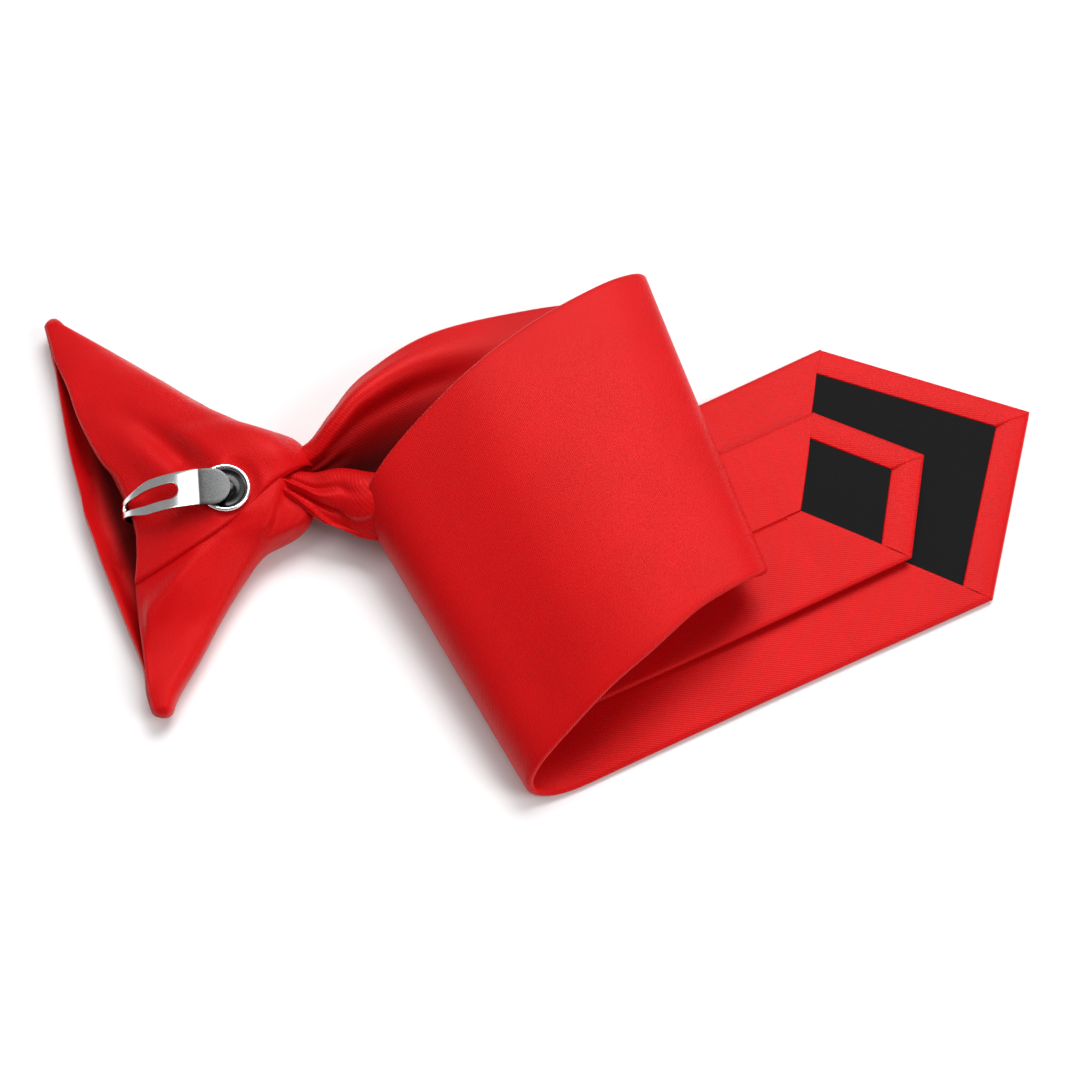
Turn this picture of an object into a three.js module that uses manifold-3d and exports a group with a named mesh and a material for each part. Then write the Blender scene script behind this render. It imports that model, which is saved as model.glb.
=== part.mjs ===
// Pre-tied clip-on necktie, lying in one loose overhand loop with its back towards the viewer at both ends.
// Millimetres, +Z up. X runs from the knot to the tip of the blades, and the object rests on z = 0.
import * as THREE from 'three'
import { mergeVertices } from 'three/addons/utils/BufferGeometryUtils.js'
import Module from 'manifold-3d'

const wasm = await Module()
wasm.setup()

// Blades
const WIDE_WIDTH = 83
const WIDE_THICK = 2.6
const WIDE_TIP = 38.7
const TAIL_WIDTH = 47
const TAIL_THICK = 2.2
const TAIL_TIP = 18.6
const TAIL_SET_BACK = 33
const HEM_WIDTH = 7.5
const FLAP_SLOPE = 0.77
const FLAP_STEP = 0.4
const WINDOW_DEPTH = 1
const TIPPING_THICK = 0.5
const LAYER_GAP = 0.3
const TAIL_EASE = 0.5

// Lay of the loop, measured from the neck under the knot
const LAY_RUN = 185
const LAY_SPREAD = 80
const LOOP_OPENING = 12
const RIGHT_TURN_BULGE = { lower: 1.3, upper: 0.8 }
const LEFT_TURN_BULGE = { lower: 1.1, upper: 1.15 }
const GATHER_DEPTH = 3.2
const BLADE_BOW = 2

// Knot
const KNOT_SPAN = 116
const KNOT_REACH = 52
const KNOT_HEIGHT = 16.5
const KNOT_ANGLE = 6.65
const CLOTH_WALL = 1.6
const FLAP_LAP = 1.2
const ROOT_PAST_NECK = 1.5

// Clip
const CLIP_WIDTH = 9.4
const CLIP_TAPER = 0.1
const CLIP_PITCH = 9
const CLIP_ROLL = 8
const CLIP_YAW = 0.5
const STEEL_THICK = 0.7
const SLOT_WIDTH = 4.8
const SLOT_LENGTH = 18
const DISC_DIAMETER = 12.4
const DISC_RIM = 1.1
const RIVET_DIAMETER = 3
const NOSE_PAST_RIVET = 1.2
const RIVET_PLACE = { reach: 31.5, span: -4 }
const HEAD_OVERHANG = 1.3
const LEG_DROP = 1
const LEG_PAST_HEAD = 1.5
const HOOK_EASE = 1.1

const satin = new THREE.MeshStandardMaterial({ color: 0xc8101a, roughness: 0.5, metalness: 0 })
const satinKnot = new THREE.MeshStandardMaterial({ color: 0xb80d17, roughness: 0.52, metalness: 0 })
const twill = new THREE.MeshStandardMaterial({ color: 0x111112, roughness: 0.85, metalness: 0 })
const steel = new THREE.MeshStandardMaterial({ color: 0xc9cbcd, roughness: 0.18, metalness: 1 })

// Heights of the wide blade's middle where it lies on the table, crosses over that, and covers the loop
const TABLE_LEVEL = WIDE_THICK / 2
const PASS_LEVEL = TABLE_LEVEL + WIDE_THICK + TAIL_THICK + TAIL_EASE + 2 * LAYER_GAP
const COVER_LEVEL = PASS_LEVEL + WIDE_THICK + 2 * (TAIL_THICK + TAIL_EASE) + 3 * LAYER_GAP

// Each leg's rows: place of the blade's middle as shares of the lay, lift as a share of the loop's opening,
// turn and tilt of its cross line in degrees, width as a share, gather or bow, and the tail's share of it.
const UNDER_LEG = [
  { run: -0.043, side: -0.025, open: 0.12, yaw: 97, tilt: 7, width: 0.22, gather: 0.22, tail: 0.5 },
  { run: 0.009, side: 0.008, open: 0.16, yaw: 99, tilt: 10, width: 0.24, gather: 0.3, tail: 0.5 },
  { run: 0.044, side: 0.05, open: 0.22, yaw: 97, tilt: 12, width: 0.35, gather: 0.7, tail: 0.52 },
  { run: 0.088, side: 0.14, open: 0.26, yaw: 96, tilt: 7, width: 0.43, gather: 0.85, tail: 0.56 },
  { run: 0.185, side: 0.152, open: 0.2, yaw: 97, tilt: 4, width: 0.74, gather: 0.6, tail: 0.66 },
  { run: 0.344, side: 0.174, open: 0.16, yaw: 102, tilt: 2, width: 0.92, gather: 0.15, tail: 0.62 },
  { run: 0.481, side: 0.175, open: 0.15, yaw: 107, tilt: 1.5, width: 1.03, gather: 0, tail: 0.58 },
]
const COVER_LEG = [
  { run: 0.507, side: 0.142, open: 0.36, yaw: 104, tilt: -0.5, width: 1.115, bow: 0, tail: 0.57 },
  { run: 0.455, side: 0.06, open: 0.53, yaw: 103, tilt: 0.5, width: 1.13, bow: 0.3, tail: 0.57 },
  { run: 0.378, side: -0.086, open: 0.62, yaw: 108, tilt: 1.2, width: 1.12, bow: 0.6, tail: 0.57 },
  { run: 0.306, side: -0.237, open: 0.54, yaw: 113, tilt: 3.2, width: 1.07, bow: 0.4, tail: 0.57 },
  { run: 0.235, side: -0.4, open: 0.14, yaw: 117, tilt: 4.3, width: 1.035, bow: 0, tail: 0.57 },
]
const TABLE_LEG = [
  { run: 0.242, side: -0.56, yaw: 117.4, width: 0.93, tail: 0.58 },
  { run: 0.42, side: -0.35, yaw: 117, width: 0.945, tail: 0.58 },
  { run: 0.62, side: -0.118, yaw: 116.7, width: 0.965, tail: 0.58 },
  { run: 0.8125, side: 0.105, yaw: 116.7, width: 0.99, tail: 0.58 },
]

// Pleats across the gathered blade, from its lower edge at -1 to its upper edge at 1
const GATHER = [
  { across: -1, rise: -0.5 },
  { across: -0.7, rise: -0.25 },
  { across: -0.3, rise: 0.8 },
  { across: 0.12, rise: -1 },
  { across: 0.72, rise: 0.9 },
  { across: 1, rise: 0.5 },
]

// Knot sections from the upper wing to the lower one: where each lies as a share of half the span, shares of
// the reach for the front lip, back lip and root, and shares of the height for crown, lip, nose and keel.
const KNOT_ROWS = [
  { at: 1, front: -0.285, back: -0.275, root: -0.235, crown: 0.42, lip: 0.4, nose: 0.26, keel: 0.14 },
  { at: 0.9, front: -0.265, back: -0.25, root: -0.1, crown: 0.43, lip: 0.41, nose: 0.26, keel: 0.08 },
  { at: 0.78, front: -0.25, back: -0.215, root: 0.08, crown: 0.48, lip: 0.44, nose: 0.26, keel: 0.03 },
  { at: 0.62, front: -0.225, back: -0.165, root: 0.3, crown: 0.56, lip: 0.48, nose: 0.28, keel: 0 },
  { at: 0.45, front: -0.195, back: -0.11, root: 0.52, crown: 0.68, lip: 0.52, nose: 0.32, keel: 0 },
  { at: 0.3, front: -0.165, back: -0.045, root: 0.745, crown: 0.84, lip: 0.56, nose: 0.44, keel: 0 },
  { at: 0.2, front: -0.14, back: 0.01, root: 0.94, crown: 0.97, lip: 0.58, nose: 0.6, keel: 0.02 },
  { at: 0.1, front: -0.115, back: 0.085, root: 1, crown: 1.03, lip: 0.58, nose: 0.62, keel: 0 },
  { at: 0, front: -0.095, back: 0.125, root: 1, crown: 1, lip: 0.57, nose: 0.56, keel: 0 },
  { at: -0.13, front: -0.05, back: 0.165, root: 1, crown: 0.95, lip: 0.55, nose: 0.5, keel: 0 },
  { at: -0.21, front: -0.025, back: 0.17, root: 0.94, crown: 0.88, lip: 0.53, nose: 0.46, keel: 0 },
  { at: -0.28, front: 0, back: 0.17, root: 0.77, crown: 0.82, lip: 0.52, nose: 0.4, keel: 0 },
  { at: -0.4, front: 0.045, back: 0.16, root: 0.655, crown: 0.73, lip: 0.5, nose: 0.34, keel: 0 },
  { at: -0.55, front: 0.1, back: 0.171, root: 0.545, crown: 0.6, lip: 0.48, nose: 0.31, keel: 0 },
  { at: -0.72, front: 0.165, back: 0.19, root: 0.44, crown: 0.5, lip: 0.46, nose: 0.29, keel: 0.03 },
  { at: -0.88, front: 0.2, back: 0.208, root: 0.34, crown: 0.46, lip: 0.43, nose: 0.28, keel: 0.08 },
  { at: -0.965, front: 0.235, back: 0.24, root: 0.29, crown: 0.43, lip: 0.41, nose: 0.28, keel: 0.14 },
]

// Edge of the upper flap where it laps the lower one, as shares of the reach and of half the span
const SEAM = [
  { reach: 0, at: -0.42 },
  { reach: 0.165, at: -0.39 },
  { reach: 0.4, at: -0.317 },
  { reach: 0.63, at: -0.198 },
  { reach: 0.85, at: -0.03 },
  { reach: 1.1, at: 0.12 },
]

// Bends of the clip's arm and inner leg: how far out towards the lip, and the share of the fall to it
const ARM_BENDS = [
  { out: 0.45, fall: -0.06 },
  { out: 0.66, fall: 0.14 },
  { out: 0.84, fall: 0.46 },
]
const LEG_BENDS = [
  { out: 0.98, fall: 0 },
  { out: 0.6, fall: 0.3 },
]

// Smooth curve through the values of one column, at a position counted in rows
function along(rows, key, position) {
  const i = Math.min(Math.floor(position), rows.length - 2)
  const t = position - i
  const a = rows[Math.max(i - 1, 0)][key]
  const b = rows[i][key]
  const c = rows[i + 1][key]
  const d = rows[Math.min(i + 2, rows.length - 1)][key]
  const slope0 = (c - a) / 2
  const slope1 = (d - b) / 2
  const t2 = t * t
  const t3 = t2 * t
  return (2 * t3 - 3 * t2 + 1) * b + (t3 - 2 * t2 + t) * slope0 + (3 * t2 - 2 * t3) * c + (t3 - t2) * slope1
}

// Smooth curve through a two-column table, read at a value of its first column
function lookUp(rows, from, to, value) {
  const last = rows.length - 1
  let i = 0
  while (i < last - 1 && (rows[i + 1][from] - value) * (rows[last][from] - rows[0][from]) < 0) i += 1
  const t = (value - rows[i][from]) / (rows[i + 1][from] - rows[i][from])
  return along(rows, to, i + THREE.MathUtils.clamp(t, 0, 1))
}

// One cross line of the blade: its two ends and the values that shape it between them
function crossLine(rows, level, position) {
  const read = (key) => (key in rows[0] ? along(rows, key, position) : 0)
  const middle = new THREE.Vector3(
    read('run') * LAY_RUN,
    read('side') * LAY_SPREAD,
    level + read('open') * LOOP_OPENING,
  )
  const yaw = THREE.MathUtils.degToRad(read('yaw'))
  const tilt = THREE.MathUtils.degToRad(read('tilt'))
  const half = (read('width') * WIDE_WIDTH) / 2
  const flat = Math.cos(tilt)
  const reach = new THREE.Vector3(Math.cos(yaw) * flat, Math.sin(yaw) * flat, Math.sin(tilt))
  return {
    lower: middle.clone().addScaledVector(reach, -half),
    upper: middle.clone().addScaledVector(reach, half),
    gather: read('gather') * GATHER_DEPTH,
    bow: read('bow') * BLADE_BOW,
    tail: read('tail'),
  }
}

// Point on the turn between two legs: half an ellipse about the cross line, sliding evenly along it
function turnPoint(from, to, outward, bulge, angle) {
  const flat = new THREE.Vector3(-outward.y, outward.x, 0)
  const share = angle / Math.PI
  const slide = THREE.MathUtils.lerp(from.dot(flat), to.dot(flat), share)
  const halfRise = (to.z - from.z) / 2
  const middle = (from.dot(outward) + to.dot(outward)) / 2
  const spread = (from.dot(outward) - to.dot(outward)) / 2
  const out = middle + spread * Math.cos(angle) + Math.abs(halfRise) * bulge * Math.sin(angle)
  const point = outward.clone().multiplyScalar(out).addScaledVector(flat, slide)
  point.z = (from.z + to.z) / 2 - halfRise * Math.cos(angle)
  return point
}

function turn(before, after, side, bulge, steps) {
  const across = before.upper.clone().sub(before.lower).add(after.upper).sub(after.lower).setZ(0).normalize()
  const outward = new THREE.Vector3(across.y * side, -across.x * side, 0)
  const lines = []
  for (let k = 1; k < steps; k += 1) {
    const angle = (Math.PI * k) / steps
    const share = k / steps
    lines.push({
      lower: turnPoint(before.lower, after.lower, outward, bulge.lower, angle),
      upper: turnPoint(before.upper, after.upper, outward, bulge.upper, angle),
      gather: 0,
      bow: 0,
      tail: THREE.MathUtils.lerp(before.tail, after.tail, share),
    })
  }
  return lines
}

function leg(rows, level, stepsPerRow) {
  const count = (rows.length - 1) * stepsPerRow
  const lines = []
  for (let k = 0; k <= count; k += 1) lines.push(crossLine(rows, level, k / stepsPerRow))
  return lines
}

const underLines = leg(UNDER_LEG, PASS_LEVEL, 3)
const coverLines = leg(COVER_LEG, COVER_LEVEL, 3)
const tableLines = leg(TABLE_LEG, TABLE_LEVEL, 2)
const TURN_STEPS = 9
const bladeLines = [
  ...underLines,
  ...turn(underLines.at(-1), coverLines[0], 1, RIGHT_TURN_BULGE, TURN_STEPS),
  ...coverLines,
  ...turn(coverLines.at(-1), tableLines[0], -1, LEFT_TURN_BULGE, TURN_STEPS),
  ...tableLines,
]

// Frame of the flat end of the blades: along the blade towards the tip, and across it
const cornerLine = tableLines.at(-1)
const cornerMiddle = cornerLine.lower.clone().add(cornerLine.upper).multiplyScalar(0.5)
const endAcross = cornerLine.upper.clone().sub(cornerLine.lower).normalize()
const endAlong = new THREE.Vector3(endAcross.y, -endAcross.x, 0)

// The pointed end narrows evenly from the corners to a small blunt tip
const TIP_STEPS = 3
const TIP_BLUNT = 1.5
for (let k = 1; k <= TIP_STEPS; k += 1) {
  const share = k / TIP_STEPS
  const middle = cornerMiddle.clone().addScaledVector(endAlong, WIDE_TIP * share)
  const half = THREE.MathUtils.lerp(cornerLine.upper.distanceTo(cornerLine.lower), TIP_BLUNT, share) / 2
  bladeLines.push({
    lower: middle.clone().addScaledVector(endAcross, -half),
    upper: middle.clone().addScaledVector(endAcross, half),
    gather: 0,
    bow: 0,
    tail: cornerLine.tail,
  })
}

// Point of the wide blade's middle surface, across from -1 at the lower edge to 1 at the upper one
function bladePoint(line, across, hollowShare) {
  const point = line.lower.clone().lerp(line.upper, (across + 1) / 2)
  const rise = lookUp(GATHER, 'across', 'rise', THREE.MathUtils.clamp(across, -1, 1))
  point.z += line.gather * (rise < 0 ? rise * hollowShare : rise) + line.bow * (1 - across * across)
  return point
}

// Closed solid between two grids of points that face each other
function skin(top, bottom) {
  const rows = top.length
  const columns = top[0].length
  const positions = []
  for (const point of [...top.flat(), ...bottom.flat()]) positions.push(point.x, point.y, point.z)
  const id = (layer, i, j) => layer * rows * columns + i * columns + j
  const faces = []
  const quad = (a, b, c, d) => faces.push(a, b, c, a, c, d)
  for (let i = 0; i < rows - 1; i += 1) {
    for (let j = 0; j < columns - 1; j += 1) {
      quad(id(0, i, j), id(0, i + 1, j), id(0, i + 1, j + 1), id(0, i, j + 1))
      quad(id(1, i, j), id(1, i, j + 1), id(1, i + 1, j + 1), id(1, i + 1, j))
    }
    quad(id(0, i, 0), id(1, i, 0), id(1, i + 1, 0), id(0, i + 1, 0))
    quad(id(0, i, columns - 1), id(0, i + 1, columns - 1), id(1, i + 1, columns - 1), id(1, i, columns - 1))
  }
  for (let j = 0; j < columns - 1; j += 1) {
    quad(id(0, 0, j), id(0, 0, j + 1), id(1, 0, j + 1), id(1, 0, j))
    quad(id(0, rows - 1, j), id(1, rows - 1, j), id(1, rows - 1, j + 1), id(0, rows - 1, j + 1))
  }
  const geometry = new THREE.BufferGeometry()
  geometry.setAttribute('position', new THREE.Float32BufferAttribute(positions, 3))
  geometry.setIndex(faces)
  return geometry
}

// Manifold solid of a closed geometry, turned right side out
function solid(geometry) {
  const bare = geometry.clone()
  bare.deleteAttribute('normal')
  bare.deleteAttribute('uv')
  const merged = mergeVertices(bare, 1e-4)
  const mesh = new wasm.Mesh({
    numProp: 3,
    vertProperties: new Float32Array(merged.attributes.position.array),
    triVerts: new Uint32Array(merged.index.array),
  })
  return new wasm.Manifold(mesh)
}

function geometryOf(body) {
  const mesh = body.getMesh()
  const geometry = new THREE.BufferGeometry()
  geometry.setAttribute('position', new THREE.BufferAttribute(new Float32Array(mesh.vertProperties), 3))
  geometry.setIndex(new THREE.BufferAttribute(new Uint32Array(mesh.triVerts), 1))
  return geometry
}

// Columns across a blade, crowded at its rolled edges and at the seam of its back flaps
const SEAM_ACROSS = -0.06
const RIM_START = 0.95
const RIM_LEAST = 0.4
const SLOPE_SPAN = 0.12
const SEAM_STEP = 0.008
const SEAM_CLEAR = 0.04
function columnsFor(count) {
  const spaced = []
  for (let k = 1; k < count; k += 1) {
    const place = -RIM_START + (2 * RIM_START * k) / count
    if (Math.abs(place - SEAM_ACROSS) > SEAM_CLEAR) spaced.push(place)
  }
  const seam = [SEAM_ACROSS - SEAM_STEP, SEAM_ACROSS + SEAM_STEP]
  return [-1, -RIM_START, ...spaced, ...seam, RIM_START, 1].sort((a, b) => a - b)
}

// Share of the half thickness near the rolled edges
function edgeShare(across) {
  const rim = Math.max(0, (Math.abs(across) - RIM_START) / (1 - RIM_START))
  return Math.max(RIM_LEAST, Math.sqrt(1 - rim * rim))
}

// Solid of a blade whose middle lies a distance off the wide blade's middle, on the inside of the loop.
// It sinks only a share of the way into the hollows between the pleats.
function bladeSolid(lines, columns, { spread, offset, thick, hollowShare }, grow) {
  const middlePoint = (line, across) => bladePoint(line, across * spread(line), hollowShare)
  const middle = lines.map((line) => columns.map((across) => middlePoint(line, across)))
  const top = []
  const bottom = []
  for (let i = 0; i < lines.length; i += 1) {
    const before = middle[Math.max(i - 1, 0)]
    const after = middle[Math.min(i + 1, lines.length - 1)]
    top.push([])
    bottom.push([])
    for (let j = 0; j < columns.length; j += 1) {
      const lengthwise = after[j].clone().sub(before[j])
      const place = columns[j] * spread(lines[i])
      const crosswise = bladePoint(lines[i], place + SLOPE_SPAN, hollowShare)
      crosswise.sub(bladePoint(lines[i], place - SLOPE_SPAN, hollowShare)).normalize()
      const normal = lengthwise.cross(crosswise).normalize()
      const half = (thick / 2) * edgeShare(columns[j]) + grow
      const step = columns[j] > SEAM_ACROSS ? 0 : FLAP_STEP * Math.max(0, 1 - lines[i].gather)
      const rim = Math.abs(columns[j]) >= RIM_START ? grow * Math.sign(columns[j]) : 0
      const centre = middle[i][j].clone().addScaledVector(normal, offset).addScaledVector(crosswise, rim)
      top[i].push(centre.clone().addScaledVector(normal, half - step))
      bottom[i].push(centre.clone().addScaledVector(normal, -half))
    }
  }
  return solid(skin(top, bottom))
}

const wideColumns = columnsFor(13)
const tailColumns = columnsFor(7)
const TAIL_OFFSET = (WIDE_THICK + TAIL_THICK) / 2 + LAYER_GAP + TAIL_EASE
const WIDE_LAYER = { spread: () => 1, offset: 0, thick: WIDE_THICK, hollowShare: 1 }
const TAIL_LAYER = { spread: (line) => line.tail, offset: TAIL_OFFSET, thick: TAIL_THICK, hollowShare: 0.55 }
const wideBlank = bladeSolid(bladeLines, wideColumns, WIDE_LAYER, 0)

// The tail stops short of the wide blade's tip, with a point of its own
const LAST_LINE_CLEAR = 6
const tailCornerRun = WIDE_TIP - TAIL_SET_BACK - TAIL_TIP
const endRun = (line) => line.lower.clone().lerp(line.upper, 0.5).sub(cornerMiddle).dot(endAlong)
const isPastCorner = (line) => tableLines.includes(line) && endRun(line) > tailCornerRun - LAST_LINE_CLEAR
const tailLines = bladeLines.slice(0, -TIP_STEPS).filter((line) => !isPastCorner(line))
const endHalf = cornerLine.upper.distanceTo(cornerLine.lower) / 2
const tailShare = TAIL_WIDTH / (2 * endHalf)
for (let k = 0; k < TIP_STEPS; k += 1) {
  const past = k / (TIP_STEPS - 1)
  const share = THREE.MathUtils.lerp(1, TIP_BLUNT / TAIL_WIDTH, past)
  const middle = cornerMiddle.clone().addScaledVector(endAlong, tailCornerRun + TAIL_TIP * past)
  tailLines.push({
    lower: middle.clone().addScaledVector(endAcross, -endHalf),
    upper: middle.clone().addScaledVector(endAcross, endHalf),
    gather: 0,
    bow: 0,
    tail: tailShare * share,
  })
}
const tailBlank = bladeSolid(tailLines, tailColumns, TAIL_LAYER, 0)

// Kite-shaped window between the hems and the slanted ends of the back flaps
function windowShape(half, cornerRun, tipLength, inset) {
  const tipAngle = Math.atan2(half, tipLength)
  const front = cornerRun + tipLength - (HEM_WIDTH + inset) / Math.sin(tipAngle)
  const backAngle = Math.atan(FLAP_SLOPE)
  const back = cornerRun - FLAP_SLOPE * half + inset / Math.cos(backAngle)
  const rate = half / tipLength
  const side = (front - back) / (1 / rate + FLAP_SLOPE)
  const shape = new THREE.Shape()
  shape.moveTo(front, 0)
  shape.lineTo(front - side / rate, side)
  shape.lineTo(back, 0)
  shape.lineTo(front - side / rate, -side)
  shape.closePath()
  return shape
}

// Plate of an outline in the frame of the blades' flat end, from one height up to another
function endPlate(shape, low, high) {
  const geometry = new THREE.ExtrudeGeometry(shape, { depth: high - low, bevelEnabled: false })
  const frame = new THREE.Matrix4().makeBasis(endAlong, endAcross, new THREE.Vector3(0, 0, 1))
  frame.setPosition(cornerMiddle.x, cornerMiddle.y, low)
  return geometry.applyMatrix4(frame)
}

const wideBack = TABLE_LEVEL + WIDE_THICK / 2
const wideFloor = wideBack - FLAP_STEP - WINDOW_DEPTH
const wideWindow = (inset) => windowShape(endHalf, 0, WIDE_TIP, inset)
const wideBlade = wideBlank.subtract(solid(endPlate(wideWindow(0), wideFloor, wideBack + WINDOW_DEPTH)))
const tippingTop = LAYER_GAP + TIPPING_THICK
const wideTipping = endPlate(wideWindow(LAYER_GAP), wideFloor + LAYER_GAP, wideFloor + tippingTop)

const tailBack = TABLE_LEVEL + TAIL_OFFSET + TAIL_THICK / 2
const tailFloor = tailBack - FLAP_STEP - WINDOW_DEPTH
const tailWindow = (inset) => windowShape(TAIL_WIDTH / 2, tailCornerRun, TAIL_TIP, inset)
const tailBlade = tailBlank.subtract(solid(endPlate(tailWindow(0), tailFloor, tailBack + WINDOW_DEPTH)))
const tailTipping = endPlate(tailWindow(LAYER_GAP), tailFloor + LAYER_GAP, tailFloor + tippingTop)

// Knot frame: reach points from the mouth to the neck, span from the lower wing to the upper one
const knotAngle = THREE.MathUtils.degToRad(KNOT_ANGLE)
const reachWay = new THREE.Vector3(Math.cos(knotAngle), Math.sin(knotAngle), 0)
const spanWay = new THREE.Vector3(-Math.sin(knotAngle), Math.cos(knotAngle), 0)
const knotFrame = new THREE.Matrix4().makeBasis(reachWay, spanWay, new THREE.Vector3(0, 0, 1))
knotFrame.setPosition(reachWay.clone().multiplyScalar(ROOT_PAST_NECK - KNOT_REACH))

// Top and bottom of the knot across one section, as a share from its mouth to its root
const CROWN_PLACE = 0.52
const LIP_CURL = 1
const EDGE_LEAST = 0.25
const TOP_POWER = 3
const BOTTOM_POWER = 4
function knotTop(row, share) {
  const climb = Math.sin((Math.PI / 2) * (share / CROWN_PLACE))
  if (share < CROWN_PLACE) return row.lip + (row.crown - row.lip) * climb
  const fall = (share - CROWN_PLACE) / (1 - CROWN_PLACE)
  return row.nose + (row.crown - row.nose) * Math.sqrt(Math.max(0, 1 - fall ** TOP_POWER))
}

function knotBottom(row, share) {
  if (share < CROWN_PLACE) return row.keel + LIP_CURL * (1 - share / CROWN_PLACE) ** 2
  const fall = (share - CROWN_PLACE) / (1 - CROWN_PLACE)
  return row.nose - (row.nose - row.keel) * Math.sqrt(Math.max(0, 1 - fall ** BOTTOM_POWER))
}

// One knot section at a position counted in rows, in millimetres
const COLUMN_SIZE = { at: KNOT_SPAN / 2, front: KNOT_REACH, back: KNOT_REACH, root: KNOT_REACH }
function knotRow(position) {
  const row = {}
  for (const key of Object.keys(KNOT_ROWS[0])) {
    row[key] = along(KNOT_ROWS, key, position) * (COLUMN_SIZE[key] ?? KNOT_HEIGHT)
  }
  return row
}

// Solid of the knot's outside, or of its hollow when set in by a wall and run out through the mouth
const KNOT_STEPS = 12
const MOUTH_RUN_OUT = 0.3
function knotBody(first, last, raise, wall) {
  const top = []
  const bottom = []
  for (let k = first; k <= last; k += 1) {
    const row = knotRow(k)
    const topRow = []
    const bottomRow = []
    for (let j = 0; j <= KNOT_STEPS; j += 1) {
      const share = Math.sin((Math.PI / 2) * (j / KNOT_STEPS))
      const mouth = wall > 0 && j === 0 ? KNOT_REACH * MOUTH_RUN_OUT : 0
      const topZ = knotTop(row, share) - wall + raise
      const bottomZ = knotBottom(row, share) + wall
      const middle = (topZ + bottomZ) / 2
      const half = Math.max((topZ - bottomZ) / 2, EDGE_LEAST)
      const end = row.root - wall
      const topReach = THREE.MathUtils.lerp(row.back, end, share) - mouth
      const bottomReach = THREE.MathUtils.lerp(row.front, end, share) - mouth
      topRow.push(new THREE.Vector3(topReach, row.at, middle + half))
      bottomRow.push(new THREE.Vector3(bottomReach, row.at, middle - half))
    }
    top.push(topRow)
    bottom.push(bottomRow)
  }
  return solid(skin(top, bottom).applyMatrix4(knotFrame))
}

// Everything on the upper wing's side of the seam, as a block that starts below the lowest crown
const FLAP_BLOCK_LOW = 0.3
const flapShape = new THREE.Shape()
flapShape.moveTo(SEAM[0].reach * KNOT_REACH - KNOT_REACH, (SEAM[0].at * KNOT_SPAN) / 2)
for (const point of SEAM) flapShape.lineTo(point.reach * KNOT_REACH, (point.at * KNOT_SPAN) / 2)
flapShape.lineTo(SEAM.at(-1).reach * KNOT_REACH, KNOT_SPAN)
flapShape.lineTo(-KNOT_REACH, KNOT_SPAN)
flapShape.closePath()
const flapBlock = new THREE.ExtrudeGeometry(flapShape, { depth: KNOT_HEIGHT * 2, bevelEnabled: false })
flapBlock.translate(0, 0, KNOT_HEIGHT * FLAP_BLOCK_LOW)
flapBlock.applyMatrix4(knotFrame)

// The largest body of a solid, without the slivers that a cut leaves
function mainBody(body) {
  const bodies = body.decompose()
  return bodies.sort((a, b) => b.volume() - a.volume())[0]
}

const NECK_LINES = 10
const STUB_GROW = LAYER_GAP + 0.15
const lastKnotRow = KNOT_ROWS.length - 1
const knotOutside = knotBody(0, lastKnotRow, 0, 0)
const upperFlap = knotBody(0, lastKnotRow, FLAP_LAP, 0).intersect(solid(flapBlock))
const knotHollow = knotBody(2, lastKnotRow - 2, 0, CLOTH_WALL)
const neckLines = underLines.slice(0, NECK_LINES)
const wideStub = bladeSolid(neckLines, wideColumns, WIDE_LAYER, STUB_GROW)
const tailStub = bladeSolid(neckLines, tailColumns, TAIL_LAYER, STUB_GROW)
const openKnot = knotOutside.add(upperFlap).subtract(knotHollow).subtract(wideStub).subtract(tailStub)

// The knot section at a place along the span
function knotRowAt(span) {
  const places = KNOT_ROWS.map((row, k) => ({ at: (row.at * KNOT_SPAN) / 2, k }))
  return knotRow(lookUp(places, 'at', 'k', span))
}

// Height of the knot's back over the flap at a place in the knot frame
function knotBackHeight(reach, span) {
  const row = knotRowAt(span)
  return knotTop(row, (reach - row.back) / (row.root - row.back)) + FLAP_LAP
}

// Clip frame: its origin is where the rivet meets the back of the knot, turned down to the lower wing
const rivetHeight = knotBackHeight(RIVET_PLACE.reach, RIVET_PLACE.span)
const pitch = THREE.MathUtils.degToRad(CLIP_PITCH)
const clipFrame = new THREE.Matrix4()
  .makeTranslation(RIVET_PLACE.reach, RIVET_PLACE.span, rivetHeight)
  .multiply(new THREE.Matrix4().makeRotationZ(THREE.MathUtils.degToRad(CLIP_YAW)))
  .multiply(new THREE.Matrix4().makeRotationX(THREE.MathUtils.degToRad(CLIP_ROLL)))
clipFrame.premultiply(knotFrame)
const discFrame = clipFrame.clone().multiply(new THREE.Matrix4().makeRotationY(pitch))

// Dished disc, rivet post through the cloth, and the head that holds the spring's inner leg
const discRadius = DISC_DIAMETER / 2
const rivetRadius = RIVET_DIAMETER / 2
const discSeat = LAYER_GAP
const legDepth = FLAP_LAP + CLOTH_WALL + LAYER_GAP + STEEL_THICK / 2 + LEG_DROP
const headTop = -(legDepth + STEEL_THICK / 2 + LAYER_GAP)
const headRadius = rivetRadius + HEAD_OVERHANG
const discProfile = [
  [0, headTop - STEEL_THICK],
  [headRadius, headTop - STEEL_THICK],
  [headRadius, headTop],
  [rivetRadius, headTop],
  [rivetRadius, discSeat],
  [discRadius * 0.82, discSeat],
  [discRadius, discSeat + DISC_RIM * 0.45],
  [discRadius, discSeat + DISC_RIM * 0.8],
  [discRadius * 0.94, discSeat + DISC_RIM],
  [discRadius * 0.87, discSeat + DISC_RIM * 0.8],
  [discRadius * 0.76, discSeat + STEEL_THICK],
  [0, discSeat + STEEL_THICK * 0.8],
].map(([radius, height]) => new THREE.Vector2(radius, height))
const DISC_SIDES = 24
const discGeometry = new THREE.LatheGeometry(discProfile, DISC_SIDES)
discGeometry.rotateX(Math.PI / 2).applyMatrix4(discFrame)

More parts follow.
